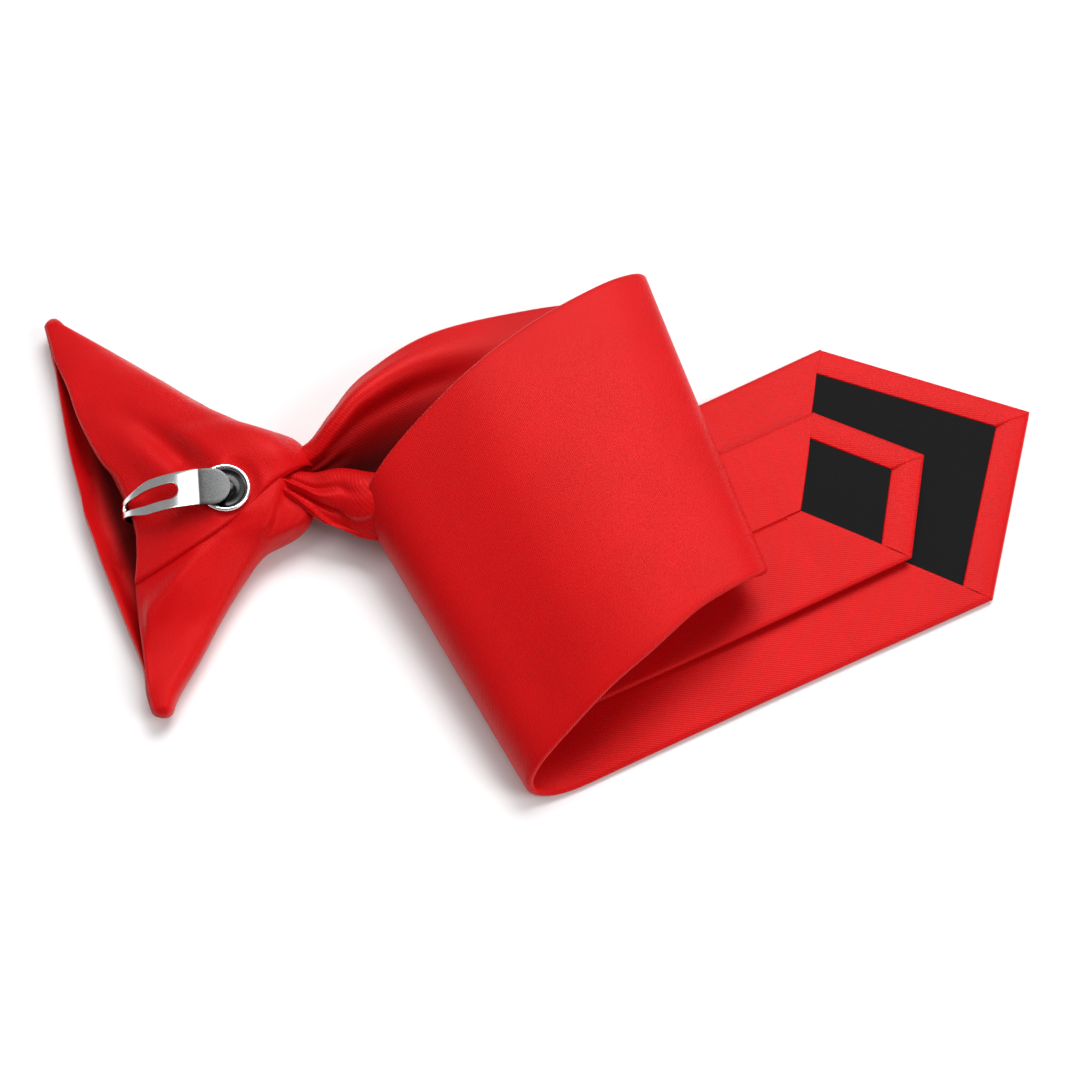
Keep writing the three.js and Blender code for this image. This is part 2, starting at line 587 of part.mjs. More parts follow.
// Side profile of the spring: over the disc, along the back, round the lip and back inside to the rivet
const lip = knotRowAt(RIVET_PLACE.span)
const lipPlace = knotRowAt(RIVET_PLACE.span + CLIP_WIDTH / 2).back - RIVET_PLACE.reach - LAYER_GAP
const lipTop = lip.lip + FLAP_LAP - rivetHeight
const lipFloor = lip.lip - CLOTH_WALL - rivetHeight
const armLevel = discSeat + DISC_RIM + LAYER_GAP + STEEL_THICK / 2
const hookEase = LAYER_GAP + HOOK_EASE + STEEL_THICK / 2
const armEnd = NOSE_PAST_RIVET - CLIP_WIDTH / 2

// Point in the pitched plane of the disc, as a place along the clip and a height
function discPoint(run, height) {
  return [
    run * Math.cos(pitch) + height * Math.sin(pitch),
    height * Math.cos(pitch) - run * Math.sin(pitch),
  ]
}

const legStart = lipFloor - hookEase
const legEnd = headRadius + LEG_PAST_HEAD
const armBend = ({ out, fall }) => [lipPlace * out, THREE.MathUtils.lerp(armLevel, lipTop, fall)]
const legBend = ({ out, fall }) => [lipPlace * out, THREE.MathUtils.lerp(legStart, -legDepth, fall)]
const springPath = [
  discPoint(armEnd, armLevel),
  discPoint(-discRadius, armLevel),
  ...ARM_BENDS.map(armBend),
  [lipPlace, lipTop + hookEase],
  [lipPlace - hookEase, (lipTop + lipFloor) / 2],
  ...LEG_BENDS.map(legBend),
  discPoint(-legEnd, -legDepth),
  discPoint(legEnd, -legDepth),
].map(([a, h]) => new THREE.Vector3(a, h, 0))
const springCurve = new THREE.CatmullRomCurve3(springPath, false, 'centripetal')
const SPRING_STEPS = 34
const springPoints = springCurve.getPoints(SPRING_STEPS)
const springSide = (sign) => springPoints.map((point, k) => {
  const way = springCurve.getTangent(k / SPRING_STEPS)
  const half = (sign * STEEL_THICK) / 2
  return new THREE.Vector2(point.x - way.y * half, point.y + way.x * half)
})
const springShape = new THREE.Shape([...springSide(1), ...springSide(-1).reverse()])
const springStrip = new THREE.ExtrudeGeometry(springShape, { depth: CLIP_WIDTH, bevelEnabled: false })
springStrip.translate(0, 0, -CLIP_WIDTH / 2).rotateX(Math.PI / 2)

// Round end of the arm over the disc
const NOSE_OVERLAP = 0.5
const noseShape = new THREE.Shape()
noseShape.moveTo(armEnd - NOSE_OVERLAP, -CLIP_WIDTH / 2)
noseShape.lineTo(armEnd, -CLIP_WIDTH / 2)
noseShape.absarc(armEnd, 0, CLIP_WIDTH / 2, -Math.PI / 2, Math.PI / 2, false)
noseShape.lineTo(armEnd - NOSE_OVERLAP, CLIP_WIDTH / 2)
noseShape.closePath()
const noseSettings = { depth: STEEL_THICK, bevelEnabled: false, curveSegments: 12 }
const nosePlate = new THREE.ExtrudeGeometry(noseShape, noseSettings)
nosePlate.translate(0, 0, armLevel - STEEL_THICK / 2)

// Slot along the arm and down the hook, so that two rails go round the lip, cut square to the arm's slope
const SLOT_START = 0.43
const SLOT_CUT_DEPTH = 9
const slotRight = lipPlace * SLOT_START
const slotLeft = slotRight - SLOT_LENGTH
const slotTilt = Math.atan2(armLevel - lipTop, -lipPlace)
const slotShape = new THREE.Shape()
slotShape.absarc(slotRight - SLOT_WIDTH / 2, 0, SLOT_WIDTH / 2, -Math.PI / 2, Math.PI / 2, false)
slotShape.absarc(slotLeft + SLOT_WIDTH / 2, 0, SLOT_WIDTH / 2, Math.PI / 2, (3 * Math.PI) / 2, false)
const slotSettings = { depth: SLOT_CUT_DEPTH, bevelEnabled: false, curveSegments: 8 }
const slotCut = new THREE.ExtrudeGeometry(slotShape, slotSettings)
slotCut.translate(-slotRight, 0, -SLOT_CUT_DEPTH / 2).rotateY(-slotTilt).translate(slotRight, 0, armLevel)

function rivetHole(clearance) {
  const radius = rivetRadius + clearance
  const drill = new THREE.CylinderGeometry(radius, radius, 3 * legDepth, 16)
  return solid(drill.rotateX(Math.PI / 2).applyMatrix4(discFrame))
}

// The arm narrows slightly from the disc to the hook
function taper(geometry) {
  const place = geometry.attributes.position
  for (let k = 0; k < place.count; k += 1) {
    place.setY(k, place.getY(k) * (1 - (CLIP_TAPER * Math.min(place.getX(k), 0)) / lipPlace))
  }
  return geometry
}

const springBody = solid(taper(springStrip).applyMatrix4(clipFrame))
  .add(solid(nosePlate.applyMatrix4(discFrame)))
  .subtract(solid(slotCut.applyMatrix4(clipFrame)))
  .subtract(rivetHole(LAYER_GAP))

// The cloth is pressed flat under the disc and opened for the rivet
const SEAT_CUT_HEIGHT = 6
const seatRadius = discRadius + LAYER_GAP
const seatCut = new THREE.CylinderGeometry(seatRadius, seatRadius, SEAT_CUT_HEIGHT, 32)
seatCut.translate(0, SEAT_CUT_HEIGHT / 2, 0).rotateX(Math.PI / 2).applyMatrix4(discFrame)
const knotWrap = mainBody(openKnot.subtract(solid(seatCut)).subtract(rivetHole(LAYER_GAP)))

const placed = new THREE.Group()

function addPiece(name, geometry, material) {
  const mesh = new THREE.Mesh(geometry, material)
  mesh.name = name
  placed.add(mesh)
  return mesh
}

addPiece('wide_blade', geometryOf(wideBlade), satin)
addPiece('wide_tipping', wideTipping, twill)
addPiece('tail_blade', geometryOf(tailBlade), satin)
addPiece('tail_tipping', tailTipping, twill)
addPiece('knot_wrap', geometryOf(knotWrap), satinKnot)
addPiece('clip_spring', geometryOf(springBody), steel)
addPiece('clip_disc', discGeometry, steel)

// The origin is under the middle of the whole tie
const bounds = new THREE.Box3().setFromObject(placed)
const centre = bounds.getCenter(new THREE.Vector3())
placed.position.set(-centre.x, -centre.y, -bounds.min.z)
const group = new THREE.Group()
group.add(placed)

export default group
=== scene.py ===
"""Clip-on necktie of red satin, lying in one loose loop with the back of its knot and its collar clip up.

A script for Blender 4.5. Lengths are in metres, and the tables hold shares of the named sizes.
"""

import bmesh
import bpy
import numpy as np
from mathutils import Matrix, Vector


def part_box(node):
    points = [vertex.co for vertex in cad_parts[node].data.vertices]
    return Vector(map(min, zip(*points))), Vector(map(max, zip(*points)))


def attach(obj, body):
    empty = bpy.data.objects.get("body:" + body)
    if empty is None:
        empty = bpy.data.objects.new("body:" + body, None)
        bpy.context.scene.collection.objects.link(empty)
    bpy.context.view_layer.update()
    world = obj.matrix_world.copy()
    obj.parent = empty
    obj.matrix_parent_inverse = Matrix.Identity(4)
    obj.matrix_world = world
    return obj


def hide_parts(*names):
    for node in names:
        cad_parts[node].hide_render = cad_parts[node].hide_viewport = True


bl_info = {
    "name": "Clip-on Necktie",
    "version": (1, 0, 0),
    "blender": (4, 5, 0),
    "location": "3D View > Sidebar > Necktie",
    "description": "Builds a pre-tied necktie with its collar clip",
    "category": "Object",
}

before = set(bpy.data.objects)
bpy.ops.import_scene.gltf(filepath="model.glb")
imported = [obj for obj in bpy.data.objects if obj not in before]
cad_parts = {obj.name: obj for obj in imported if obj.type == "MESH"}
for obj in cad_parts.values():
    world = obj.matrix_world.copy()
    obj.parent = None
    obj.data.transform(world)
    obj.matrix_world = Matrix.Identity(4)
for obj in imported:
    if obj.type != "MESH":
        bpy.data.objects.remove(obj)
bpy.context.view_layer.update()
BODY = "root"
MM = 0.001


def table(columns, rows):
    """Rows of a table as dicts by the names of its columns."""
    return [dict(zip(columns, row)) for row in rows]


# Blades
WIDE_WIDTH = 0.083
WIDE_TIP = 0.0387
TAIL_WIDTH = 0.047
TAIL_TIP = 0.0186
TAIL_SET_BACK = 0.033
FLAP_SLOPE = 0.77
LAYER_GAP = 0.0003
TAIL_EASE = 0.0005
SEAM_ACROSS = 0.0
FLAP_STEP_WIDTH = 0.0006
FLAP_GROOVE = {"place": 0.0007, "width": 0.00045, "depth": 0.00022}
HEM_DROP = 0.0005
HEM_PUFF = {"wide": 0.0002, "tail": 0.00025}
TAIL_HOLLOW = 0.92
# Mitre at the point: a groove where the hems meet, and how far the lower hem lies under the upper one there
MITRE = {"groove": 0.00025, "groove_width": 0.00035, "lap": 0.00022, "lap_length": 0.004}
WINDOW_EDGE = 0.0003
# Where the kite of the window has a point between its back and each side corner
WINDOW_BETWEEN = 0.45
# The tipping's two faces over the window's floor, and its clearance from the window's edge
TIPPING_LIFT = {"under": 0.0001, "over": 0.0005}
TIPPING_EASE = 0.0002

# Lay of the loop, measured from the neck under the knot
LAY_RUN = 0.185
LAY_SPREAD = 0.080
LOOP_OPENING = 0.012
RIGHT_TURN_BULGE = {"lower": 1.3, "upper": 0.8}
LEFT_TURN_BULGE = {"lower": 1.1, "upper": 1.15}
BLADE_BOW = 0.002

# Knot
KNOT_SPAN = 0.116
KNOT_REACH = 0.052
KNOT_HEIGHT = 0.0165
KNOT_ANGLE = 6.65
ROOT_PAST_NECK = 0.0015

# Clip
CLIP_TAPER = 0.1
CLIP_PITCH = 9.0
CLIP_ROLL = 8.0
CLIP_YAW = 0.5
DISC_RIM = 0.0011
RIVET_DIAMETER = 0.003
NOSE_PAST_RIVET = 0.0012
RIVET_PLACE = {"reach": 0.0315, "span": -0.004}
HEAD_OVERHANG = 0.0013
LEG_DROP = 0.001
LEG_PAST_HEAD = 0.0015
HOOK_EASE = 0.0006
HOOK_NARROWING = 0.44

# Each leg's rows: place of the blade's middle as shares of the lay, lift as a share of the loop's opening,
# turn and tilt of its cross line in degrees, width as a share, the tail's share of it, and gather or bow. The
# fold is where the lower roll ends against the hollow, and the slide is how far the tail lies off the middle.
UNDER_LEG = table(("run", "side", "open", "yaw", "tilt", "width", "tail", "gather", "fold", "slide"), (
    (-0.043, -0.025, 0.12, 97, 7, 0.22, 0.26, 0.22, 0.3, 0.08),
    (0.009, 0.008, 0.16, 99, 10, 0.24, 0.38, 0.34, -0.22, -0.58),
    (0.044, 0.05, 0.22, 97, 12, 0.35, 0.38, 0.75, -0.38, -0.75),
    (0.088, 0.098, 0.26, 96, 7, 0.515, 0.31, 0.95, -0.52, -0.8),
    (0.185, 0.152, 0.2, 97, 4, 0.74, 0.56, 0.6, -0.42, -0.36),
    (0.344, 0.174, 0.16, 102, 2, 0.92, 0.62, 0.15, -0.3, -0.05),
    (0.481, 0.175, 0.15, 107, 1.5, 1.03, 0.58, 0, -0.3, 0),
))
COVER_LEG = table(("run", "side", "open", "yaw", "tilt", "width", "tail", "bow"), (
    (0.507, 0.142, 0.36, 104, -0.5, 1.115, 0.57, 0),
    (0.455, 0.06, 0.53, 103, 0.5, 1.13, 0.57, 0.3),
    (0.378, -0.086, 0.62, 108, 1.2, 1.12, 0.57, 0.6),
    (0.306, -0.237, 0.54, 113, 3.2, 1.07, 0.57, 0.4),
    (0.235, -0.4, 0.14, 117, 4.3, 1.035, 0.57, 0),
))
TABLE_LEG = table(("run", "side", "yaw", "width", "tail"), (
    (0.242, -0.56, 117.4, 0.93, 0.58),
    (0.42, -0.35, 117, 0.945, 0.58),
    (0.62, -0.118, 116.7, 0.965, 0.58),
    (0.8125, 0.105, 116.7, 0.99, 0.58),
))
LINE_COLUMNS = ("gather", "bow", "tail", "fold", "slide")

# Pleats across the gathered blade, from its lower edge at -1 to its upper edge at 1. The rise stands off the
# cloth, and the lean is sideways, so that a roll curls over the hollow beside it.
GATHER = table(("across", "rise", "lean"), (
    (-1, -0.3, 0),
    (-0.84, 0.1, 0),
    (-0.66, 0.45, 0.05),
    (-0.46, 0.6, 0.15),
    (-0.28, 0.35, 0.25),
    (-0.1, -1.2, 0.1),
    (0.1, -1.25, 0),
    (0.35, -0.8, 0),
    (0.6, 0, -0.1),
    (0.8, 0.75, -0.3),
    (1, 0.3, 0),
))
# Upper end of the lower roll in the table above, and the painted shade of the hollow behind it, which starts
# a little before that edge and is gone where the upper roll begins
HOLLOW_EDGE = -0.19
HOLLOW_PAINTED_SHADE = {"full": 1.0, "begins": -0.04, "over": 0.08, "gone": 0.72, "fades": 0.5, "gather": 0.5}

# Knot sections from the upper wing to the lower one: where each lies as a share of half the span, shares of
# the reach for the front lip, back lip and root, and shares of the height for crown, lip, nose and keel.
KNOT_COLUMNS = ("at", "front", "back", "root", "crown", "lip", "nose", "keel")
KNOT_ROWS = table(KNOT_COLUMNS, (
    (1, -0.292, -0.29, -0.212, 0.42, 0.4, 0.26, 0.14),
    (0.9, -0.268, -0.264, -0.066, 0.44, 0.42, 0.26, 0.08),
    (0.78, -0.25, -0.23, 0.1, 0.48, 0.44, 0.26, 0.03),
    (0.62, -0.225, -0.165, 0.31, 0.56, 0.48, 0.28, 0),
    (0.45, -0.195, -0.11, 0.52, 0.68, 0.52, 0.32, 0),
    (0.3, -0.165, -0.045, 0.745, 0.84, 0.56, 0.44, 0),
    (0.2, -0.14, 0.01, 0.94, 0.97, 0.58, 0.6, 0.02),
    (0.1, -0.115, 0.085, 1, 1.03, 0.58, 0.62, 0),
    (0, -0.095, 0.125, 1, 1, 0.57, 0.56, 0),
    (-0.13, -0.05, 0.165, 1, 0.95, 0.55, 0.5, 0),
    (-0.21, -0.025, 0.17, 0.94, 0.88, 0.53, 0.46, 0),
    (-0.28, 0, 0.17, 0.77, 0.82, 0.52, 0.4, 0),
    (-0.4, 0.045, 0.16, 0.655, 0.73, 0.5, 0.34, 0),
    (-0.55, 0.1, 0.171, 0.545, 0.6, 0.48, 0.31, 0),
    (-0.72, 0.165, 0.19, 0.44, 0.5, 0.46, 0.29, 0.03),
    (-0.88, 0.2, 0.208, 0.332, 0.46, 0.43, 0.28, 0.08),
    (-0.965, 0.225, 0.23, 0.3, 0.43, 0.41, 0.28, 0.14),
))
KNOT_SIZES = {"at": KNOT_SPAN / 2, "front": KNOT_REACH, "back": KNOT_REACH, "root": KNOT_REACH}

# Edge of the upper flap where it laps the lower one, as shares of the reach and of half the span
SEAM = table(("reach", "at"), (
    (0, -0.42),
    (0.165, -0.39),
    (0.4, -0.317),
    (0.63, -0.198),
    (0.85, -0.03),
    (1.1, 0.12),
))

# Soft folds of the knot. Each runs through points given as shares of the reach and of half the span, with its
# rise there in metres, which is below zero for a hollow. The width is half the fold's own.
KNOT_FOLDS = [
    {"width": 0.0058, "line": [(-0.1, 0.8, 0.0004), (0.36, 0.51, 0.0012), (0.6, 0.32, 0.0017),
                               (0.84, 0.1, 0.0012)]},
    {"width": 0.0036, "line": [(0.0, 0.5, 0), (0.17, 0.36, -0.0012), (0.3, 0.24, -0.0032),
                               (0.41, 0.12, -0.0038), (0.5, 0.03, -0.002)]},
    {"width": 0.0050, "line": [(0.1, 0.16, -0.0004), (0.3, -0.06, -0.0013)]},
    {"width": 0.0032, "line": [(0.56, -0.27, 0.0006), (0.475, -0.33, 0.0013), (0.36, -0.44, 0.0018),
                               (0.213, -0.555, 0.0016), (0.12, -0.66, 0.0008)]},
    {"width": 0.0034, "line": [(0.66, -0.34, -0.0004), (0.42, -0.6, -0.0010), (0.28, -0.8, -0.0004)]},
]
# Crisp edge where the lower flap turns into the neck: its line, how far the cloth drops beyond it, where
# along the span it starts, and how far from it the drop is gone again
NECK_EDGE = {"line": [(0.87, -0.02), (0.8, -0.19), (0.7, -0.34)], "drop": 0.0018, "width": 0.0013,
             "starts": -0.02, "start_width": 0.002, "fades_from": 0.004, "fade_width": 0.006}
# Mouth in the neck's back where the blades come out from under the upper flap: its near corner and its
# lower side, with how far the cloth gives way, also this far in under the flap's seam
NECK_MOUTH = {"corner": (0.86, -0.015), "side": (1.1, -0.26), "drop": 0.0055, "width": 0.0012,
              "under_seam": 0.004}
# Closed tips of the wings: rows of the table left off, length of the round, how much its sides close in,
# and where the mouth between the two lips closes, as shares of half the span
TIP_TRIM = {"upper": 0.15, "lower": 0.3}
TIP_ROUND = {"upper": 0.0032, "lower": 0.0018}
TIP_TAPER = {"upper": 0.34, "lower": 0.2}
TIP_SMALLEST = 0.02
MOUTH_CLOSES = {"from": 0.76, "over": 0.1}
# Wall of the knot's shell: least half height, the half heights over which its hollow opens, the wall's
# greatest share of the half height, its share where there is no room, and how full a closed tip is
KNOT_WALL = {"least": 0.0003, "opens_from": 0.0008, "opens_over": 0.004, "greatest": 0.55, "narrow": 0.35,
             "closed": 0.97}
# Lips and crown of the knot, with the painted shade inside its mouth
CROWN_PLACE = 0.52
LIP_CURL = 0.001
LIP_ROUND = 0.0005
FRONT_PUFF = {"height": 0.0034, "width": 0.0020}
MOUTH_PAINTED_SHADE = {"full": 0.9, "from": 0.0030, "over": 0.0045}
KNOT_RIPPLE = {"size": 0.017, "height": 0.00016, "seed": 21}
# Upper flap: width of its rounded edges, how deep its underside is sunk, where it ends along the span, and
# how it thins and sinks into the upper wing's tip
FLAP_EDGE = 0.0010
FLAP_SUNK = 0.0005
# Lap of the upper flap as a share of its full height: on the short sections of the wings, at the lip, and
# near the root, with where it gets there
FLAP_LAP = {"short": 0.25, "full_at": 0.5, "lip": 0.35, "root_loss": 0.75, "root_from": 0.8, "root_over": 0.2}
FLAP_END = 0.985
FLAP_THINS = {"from": 0.5, "over": 0.36}
FLAP_DIVES = {"from": 0.85, "over": 0.12, "depth": 0.0008}
# Seat that the disc presses in the cloth: how far past the disc it reaches, how deep, and the most it lifts
SEAT = {"past_disc": 0.0035, "depth": 0.00025, "lift": 0.0004}

# Small creases that run along the gathered blade: where each starts and ends as a share of the under leg,
# its place across there, its half width as a share of half the blade, and its rise in metres.
CREASE_COLUMNS = ("start", "end", "across0", "across1", "width", "rise")
BLADE_CREASES = table(CREASE_COLUMNS, (
    (0.0, 0.5, -0.62, -0.86, 0.07, -0.0022),
    (0.0, 0.42, -0.8, -0.95, 0.05, 0.0010),
    (0.0, 0.5, -0.45, -0.62, 0.12, 0.0014),
    (0.02, 0.4, 0.3, 0.32, 0.09, -0.0010),
    (0.0, 0.3, 0.55, 0.6, 0.06, -0.0009),
    (0.05, 0.75, 0.78, 0.86, 0.10, 0.0008),
    (0.1, 0.8, 0.58, 0.6, 0.10, -0.0010),
))
TAIL_CREASES = table(CREASE_COLUMNS, (
    (0.0, 0.5, -0.9, -0.7, 0.16, 0.0012),
    (0.0, 0.4, -0.2, -0.1, 0.12, -0.0009),
    (0.0, 0.35, 0.2, 0.3, 0.14, 0.0008),
    (0.1, 0.5, 0.55, 0.6, 0.12, -0.0008),
))

# Bends of the clip's arm and inner leg: how far out towards the lip, and the share of the fall to it
ARM_BENDS = [(0.45, -0.06), (0.66, 0.14), (0.84, 0.46)]
LEG_BENDS = [(0.98, 0), (0.6, 0.3)]
# Cloth inside the hook, both ends of the slot from where the nose's round ends, where the strap narrows to
# its hook, and the roundness of its edges
HOOKED_CLOTH = 0.0016
SLOT_FROM = 0.0077
SLOT_TO = 0.0257
NARROWS = {"from": 0.72, "over": 0.34}
WORN_EDGE = 0.00014
# Dark end of the strap, measured from where the nose's round ends, with the width of its border and the run
# over which it darkens, and the disc's middle with a painted dark reflection as a share of its diameter, with
# its border
STRAP_DARK_END = 0.0026
STRAP_DARK_BORDER = 0.0006
STRAP_DARK_RUN = 0.0060
DISC_PAINTED_REFLECTION_SHARE = 0.39
DISC_PAINTED_REFLECTION_BORDER = 0.0004
# Disc inside its rim, and the inner head: share of the radius, and height over the seat or share of the steel
DISC_DISH = [(0.80, 0.00045), (0.72, 0.0003), (0.42, 0.00028), (0.36, 0.0005), (0.2, 0.00066), (0, 0.0007)]
HEAD_CHAMFER = {"radius": 0.8, "thickness": 0.6}

# Weave and plate: how many specks or turns of each texture there are to the metre
FLECK_SCALE = 2600.0
TONE_SCALE = 42.0
TWILL_FLECK_SCALE = 2200.0
SMUDGE_SCALE = 380.0
GRAIN_SCALE = 3600.0
BRUSH_SCALE = (120.0, 2600.0, 1.0)
FADE_OUT = {"stops": [(0.0, (1, 1, 1, 1)), (1.0, (0, 0, 0, 1))]}

# Area lights: place, size and power as a share of the key's. The picture's middle is measured from the neck.
LIGHTS = table(("name", "place", "size", "share"), (
    ("key", (0.42, 0.98, 1.45), (1.1, 0.9), 1.0),
    ("card", (-0.30, 0.36, 1.40), (1.7, 0.55), 0.28),
    ("fill", (1.25, -0.45, 0.95), (0.8, 0.8), 0.5),
))
PICTURE_MIDDLE = (0.058, -0.011, 0)
FLOOR_HALF = 3.0

# Cross lines of the blades: steps between the rows of each leg and round each turn, lines left off inside the
# knot, and how the turns are eased into the legs
LEG_STEPS = {"under": 14, "cover": 14, "table": 26}
TURN_STEPS = {"right": 26, "left": 30}
LINES_IN_KNOT = 3
EASE_PASSES = 60
EASE_SPREAD = 7.0
# Where a blade's body meets its pointed end: the last lines that the cut may fall in, how far short of the
# window's back corner it is, its least distance from the line before it, and the lines over which the tail
# gets its own width
TABLE_LINES = 80
BODY_SHORT_OF_WINDOW = {"wide": 0.006, "tail": 0.004}
LAST_LINE_GAP = 0.0008
SETTLE_LINES = {"last": 60, "over": 50}
# Places across the blades: how many, and those crowded at the seam, which take the place of the even ones
# near it
BLADE_COLUMNS = {"wide": 64, "tail": 48}
SEAM_COLUMNS = (-1, -0.62, -0.4, -0.24, -0.12, -0.05, 0, 0.05, 0.15)
SEAM_BAND = {"reach": 0.06, "middle": -0.02, "half": 0.055}
# How finely the folds, the pointed ends, the tippings, the knot and the clip are made
EDGE_STEPS = 7
END_COUNTS = (22, 20, 1, 22, 22, 1, 34, 1, 34, 1)
END_LAP = 1e-5
PLATE_SIDE = 24
PLATE_RINGS = {"over": 14, "under": 3}
PLATE_CENTRE = 0.001
KNOT_LINES = 190
KNOT_STEPS = 62
TIP_STEPS = 12
FLAP_STEPS = 64
FLAP_LINES = 84
SEAM_PASSES = 60
STRAP_LINES = 700
STRETCH_STEPS = 60
STRAP_HALF_LINES = 7
DISC_SIDES = 96
RIM_STEPS = 14


class BladeSettings(bpy.types.PropertyGroup):
    """Sizes and colour of the two blades."""

    thickness: bpy.props.FloatProperty(
        name="Blade thickness", description="Folded cloth and interlining of the wide blade",
        default=0.0026, min=0.0015, unit="LENGTH", subtype="DISTANCE")
    tail_thickness: bpy.props.FloatProperty(
        name="Tail thickness", description="Folded cloth and interlining of the narrow blade",
        default=0.0022, min=0.0015, unit="LENGTH", subtype="DISTANCE")
    hem: bpy.props.FloatProperty(
        name="Hem", description="Width of the mitred hems round the tipping",
        default=0.0075, unit="LENGTH", subtype="DISTANCE")
    flap_step: bpy.props.FloatProperty(
        name="Flap step", description="Height of the upper back flap over the lower one",
        default=0.0005, unit="LENGTH", subtype="DISTANCE")
    window_depth: bpy.props.FloatProperty(
        name="Window depth", description="Depth of the open window that holds the tipping",
        default=0.0013, unit="LENGTH", subtype="DISTANCE")
    gather: bpy.props.FloatProperty(
        name="Gather", description="Depth of the pleats beside the knot",
        default=0.0062, unit="LENGTH", subtype="DISTANCE")
    colour: bpy.props.FloatVectorProperty(
        name="Satin colour", description="Colour of the satin", subtype="COLOR", size=3,
        default=(0.62, 0.0028, 0.0048), min=0, max=1)
    tipping_colour: bpy.props.FloatVectorProperty(
        name="Tipping colour", description="Colour of the twill tipping", subtype="COLOR", size=3,
        default=(0.0050, 0.0050, 0.0054), min=0, max=1)
    rib_pitch: bpy.props.FloatProperty(
        name="Rib pitch", description="Distance between the ribs of the weave",
        default=0.00056, unit="LENGTH", subtype="DISTANCE")


class KnotSettings(bpy.types.PropertyGroup):
    """Sizes of the knot."""

    wall: bpy.props.FloatProperty(
        name="Wall", description="Thickness of the knot's folded cloth",
        default=0.0014, unit="LENGTH", subtype="DISTANCE")
    lap: bpy.props.FloatProperty(
        name="Lap", description="Height of the upper flap over the lower one",
        default=0.0012, unit="LENGTH", subtype="DISTANCE")


class ClipSettings(bpy.types.PropertyGroup):
    """Sizes and finish of the collar clip."""

    width: bpy.props.FloatProperty(
        name="Strap width", description="Width of the spring steel strap",
        default=0.0094, unit="LENGTH", subtype="DISTANCE")
    steel: bpy.props.FloatProperty(
        name="Steel thickness", description="Thickness of the strap",
        default=0.0007, unit="LENGTH", subtype="DISTANCE")
    slot_width: bpy.props.FloatProperty(
        name="Slot width", description="Width of the slot between the strap's two rails",
        default=0.0044, unit="LENGTH", subtype="DISTANCE")
    disc: bpy.props.FloatProperty(
        name="Disc diameter", description="Diameter of the dished disc under the strap's round end",
        default=0.0124, unit="LENGTH", subtype="DISTANCE")
    colour: bpy.props.FloatVectorProperty(
        name="Steel colour", description="Colour of the polished plate", subtype="COLOR", size=3,
        default=(0.90, 0.905, 0.91), min=0, max=1)


class StageSettings(bpy.types.PropertyGroup):
    """Camera, floor and lights."""

    elevation: bpy.props.FloatProperty(
        name="Elevation", description="Angle of the camera above the table, in degrees", default=62.0)
    distance: bpy.props.FloatProperty(
        name="Distance", description="Distance from the camera to the middle of the picture",
        default=0.440, unit="LENGTH", subtype="DISTANCE")
    lens: bpy.props.FloatProperty(
        name="Lens", description="Focal length in millimetres on a 36 mm sensor", default=58.67)
    floor_colour: bpy.props.FloatVectorProperty(
        name="Floor colour", description="Colour of the plain floor", subtype="COLOR", size=3,
        default=(0.93, 0.93, 0.935), min=0, max=1)
    key_power: bpy.props.FloatProperty(
        name="Key power", description="Power of the soft key light, in watts", default=23.0)
    world_light: bpy.props.FloatProperty(
        name="World light", description="Strength of the even light from all round", default=0.27)


def column(rows, key, position):
    """Value of one table column at positions counted in rows.

    It is a cubic between each two rows, whose slope at a row is half the difference of its neighbours.
    """
    values = np.array([row.get(key, 0.0) for row in rows], float)
    padded = np.concatenate([values[:1], values, values[-1:]])
    position = np.asarray(position, float)
    i = np.clip(position.astype(int), 0, len(values) - 2)
    t = position - i
    a, b, c, d = (padded[i + k] for k in range(4))
    start_slope = (c - a) / 2
    end_slope = (d - b) / 2
    return ((2 * t**3 - 3 * t**2 + 1) * b + (t**3 - 2 * t**2 + t) * start_slope
            + (3 * t**2 - 2 * t**3) * c + (t**3 - t**2) * end_slope)


def look_up(rows, source, target, value):
    """Smooth curve through a two-column table, read at values of its first column."""
    places = np.array([row[source] for row in rows], float)
    position = np.interp(value, places, np.arange(len(rows)))
    return column(rows, target, position)


def smooth_step(value):
    """0 below 0, 1 above 1, and an even S between them."""
    t = np.clip(value, 0, 1)
    return t * t * (3 - 2 * t)


def unit(vectors):
    """Each vector divided by its length."""
    return vectors / np.maximum(np.linalg.norm(vectors, axis=-1, keepdims=True), 1e-12)


def leg(rows, level, steps):
    """Cross lines of one leg: a middle that follows the rows, and ends half a width either way along a line
    turned by the yaw and lifted by the tilt."""
    position = np.linspace(0, len(rows) - 1, (len(rows) - 1) * steps + 1)
    middle = np.stack([
        column(rows, "run", position) * LAY_RUN,
        column(rows, "side", position) * LAY_SPREAD,
        level + column(rows, "open", position) * LOOP_OPENING,
    ], 1)
    yaw = np.radians(column(rows, "yaw", position))
    tilt = np.radians(column(rows, "tilt", position))
    reach = np.stack([np.cos(yaw) * np.cos(tilt), np.sin(yaw) * np.cos(tilt), np.sin(tilt)], 1)
    half = (column(rows, "width", position) * WIDE_WIDTH / 2)[:, None]
    lines = {name: column(rows, name, position) for name in LINE_COLUMNS}
    lines["lower"] = middle - reach * half
    lines["upper"] = middle + reach * half
    return lines


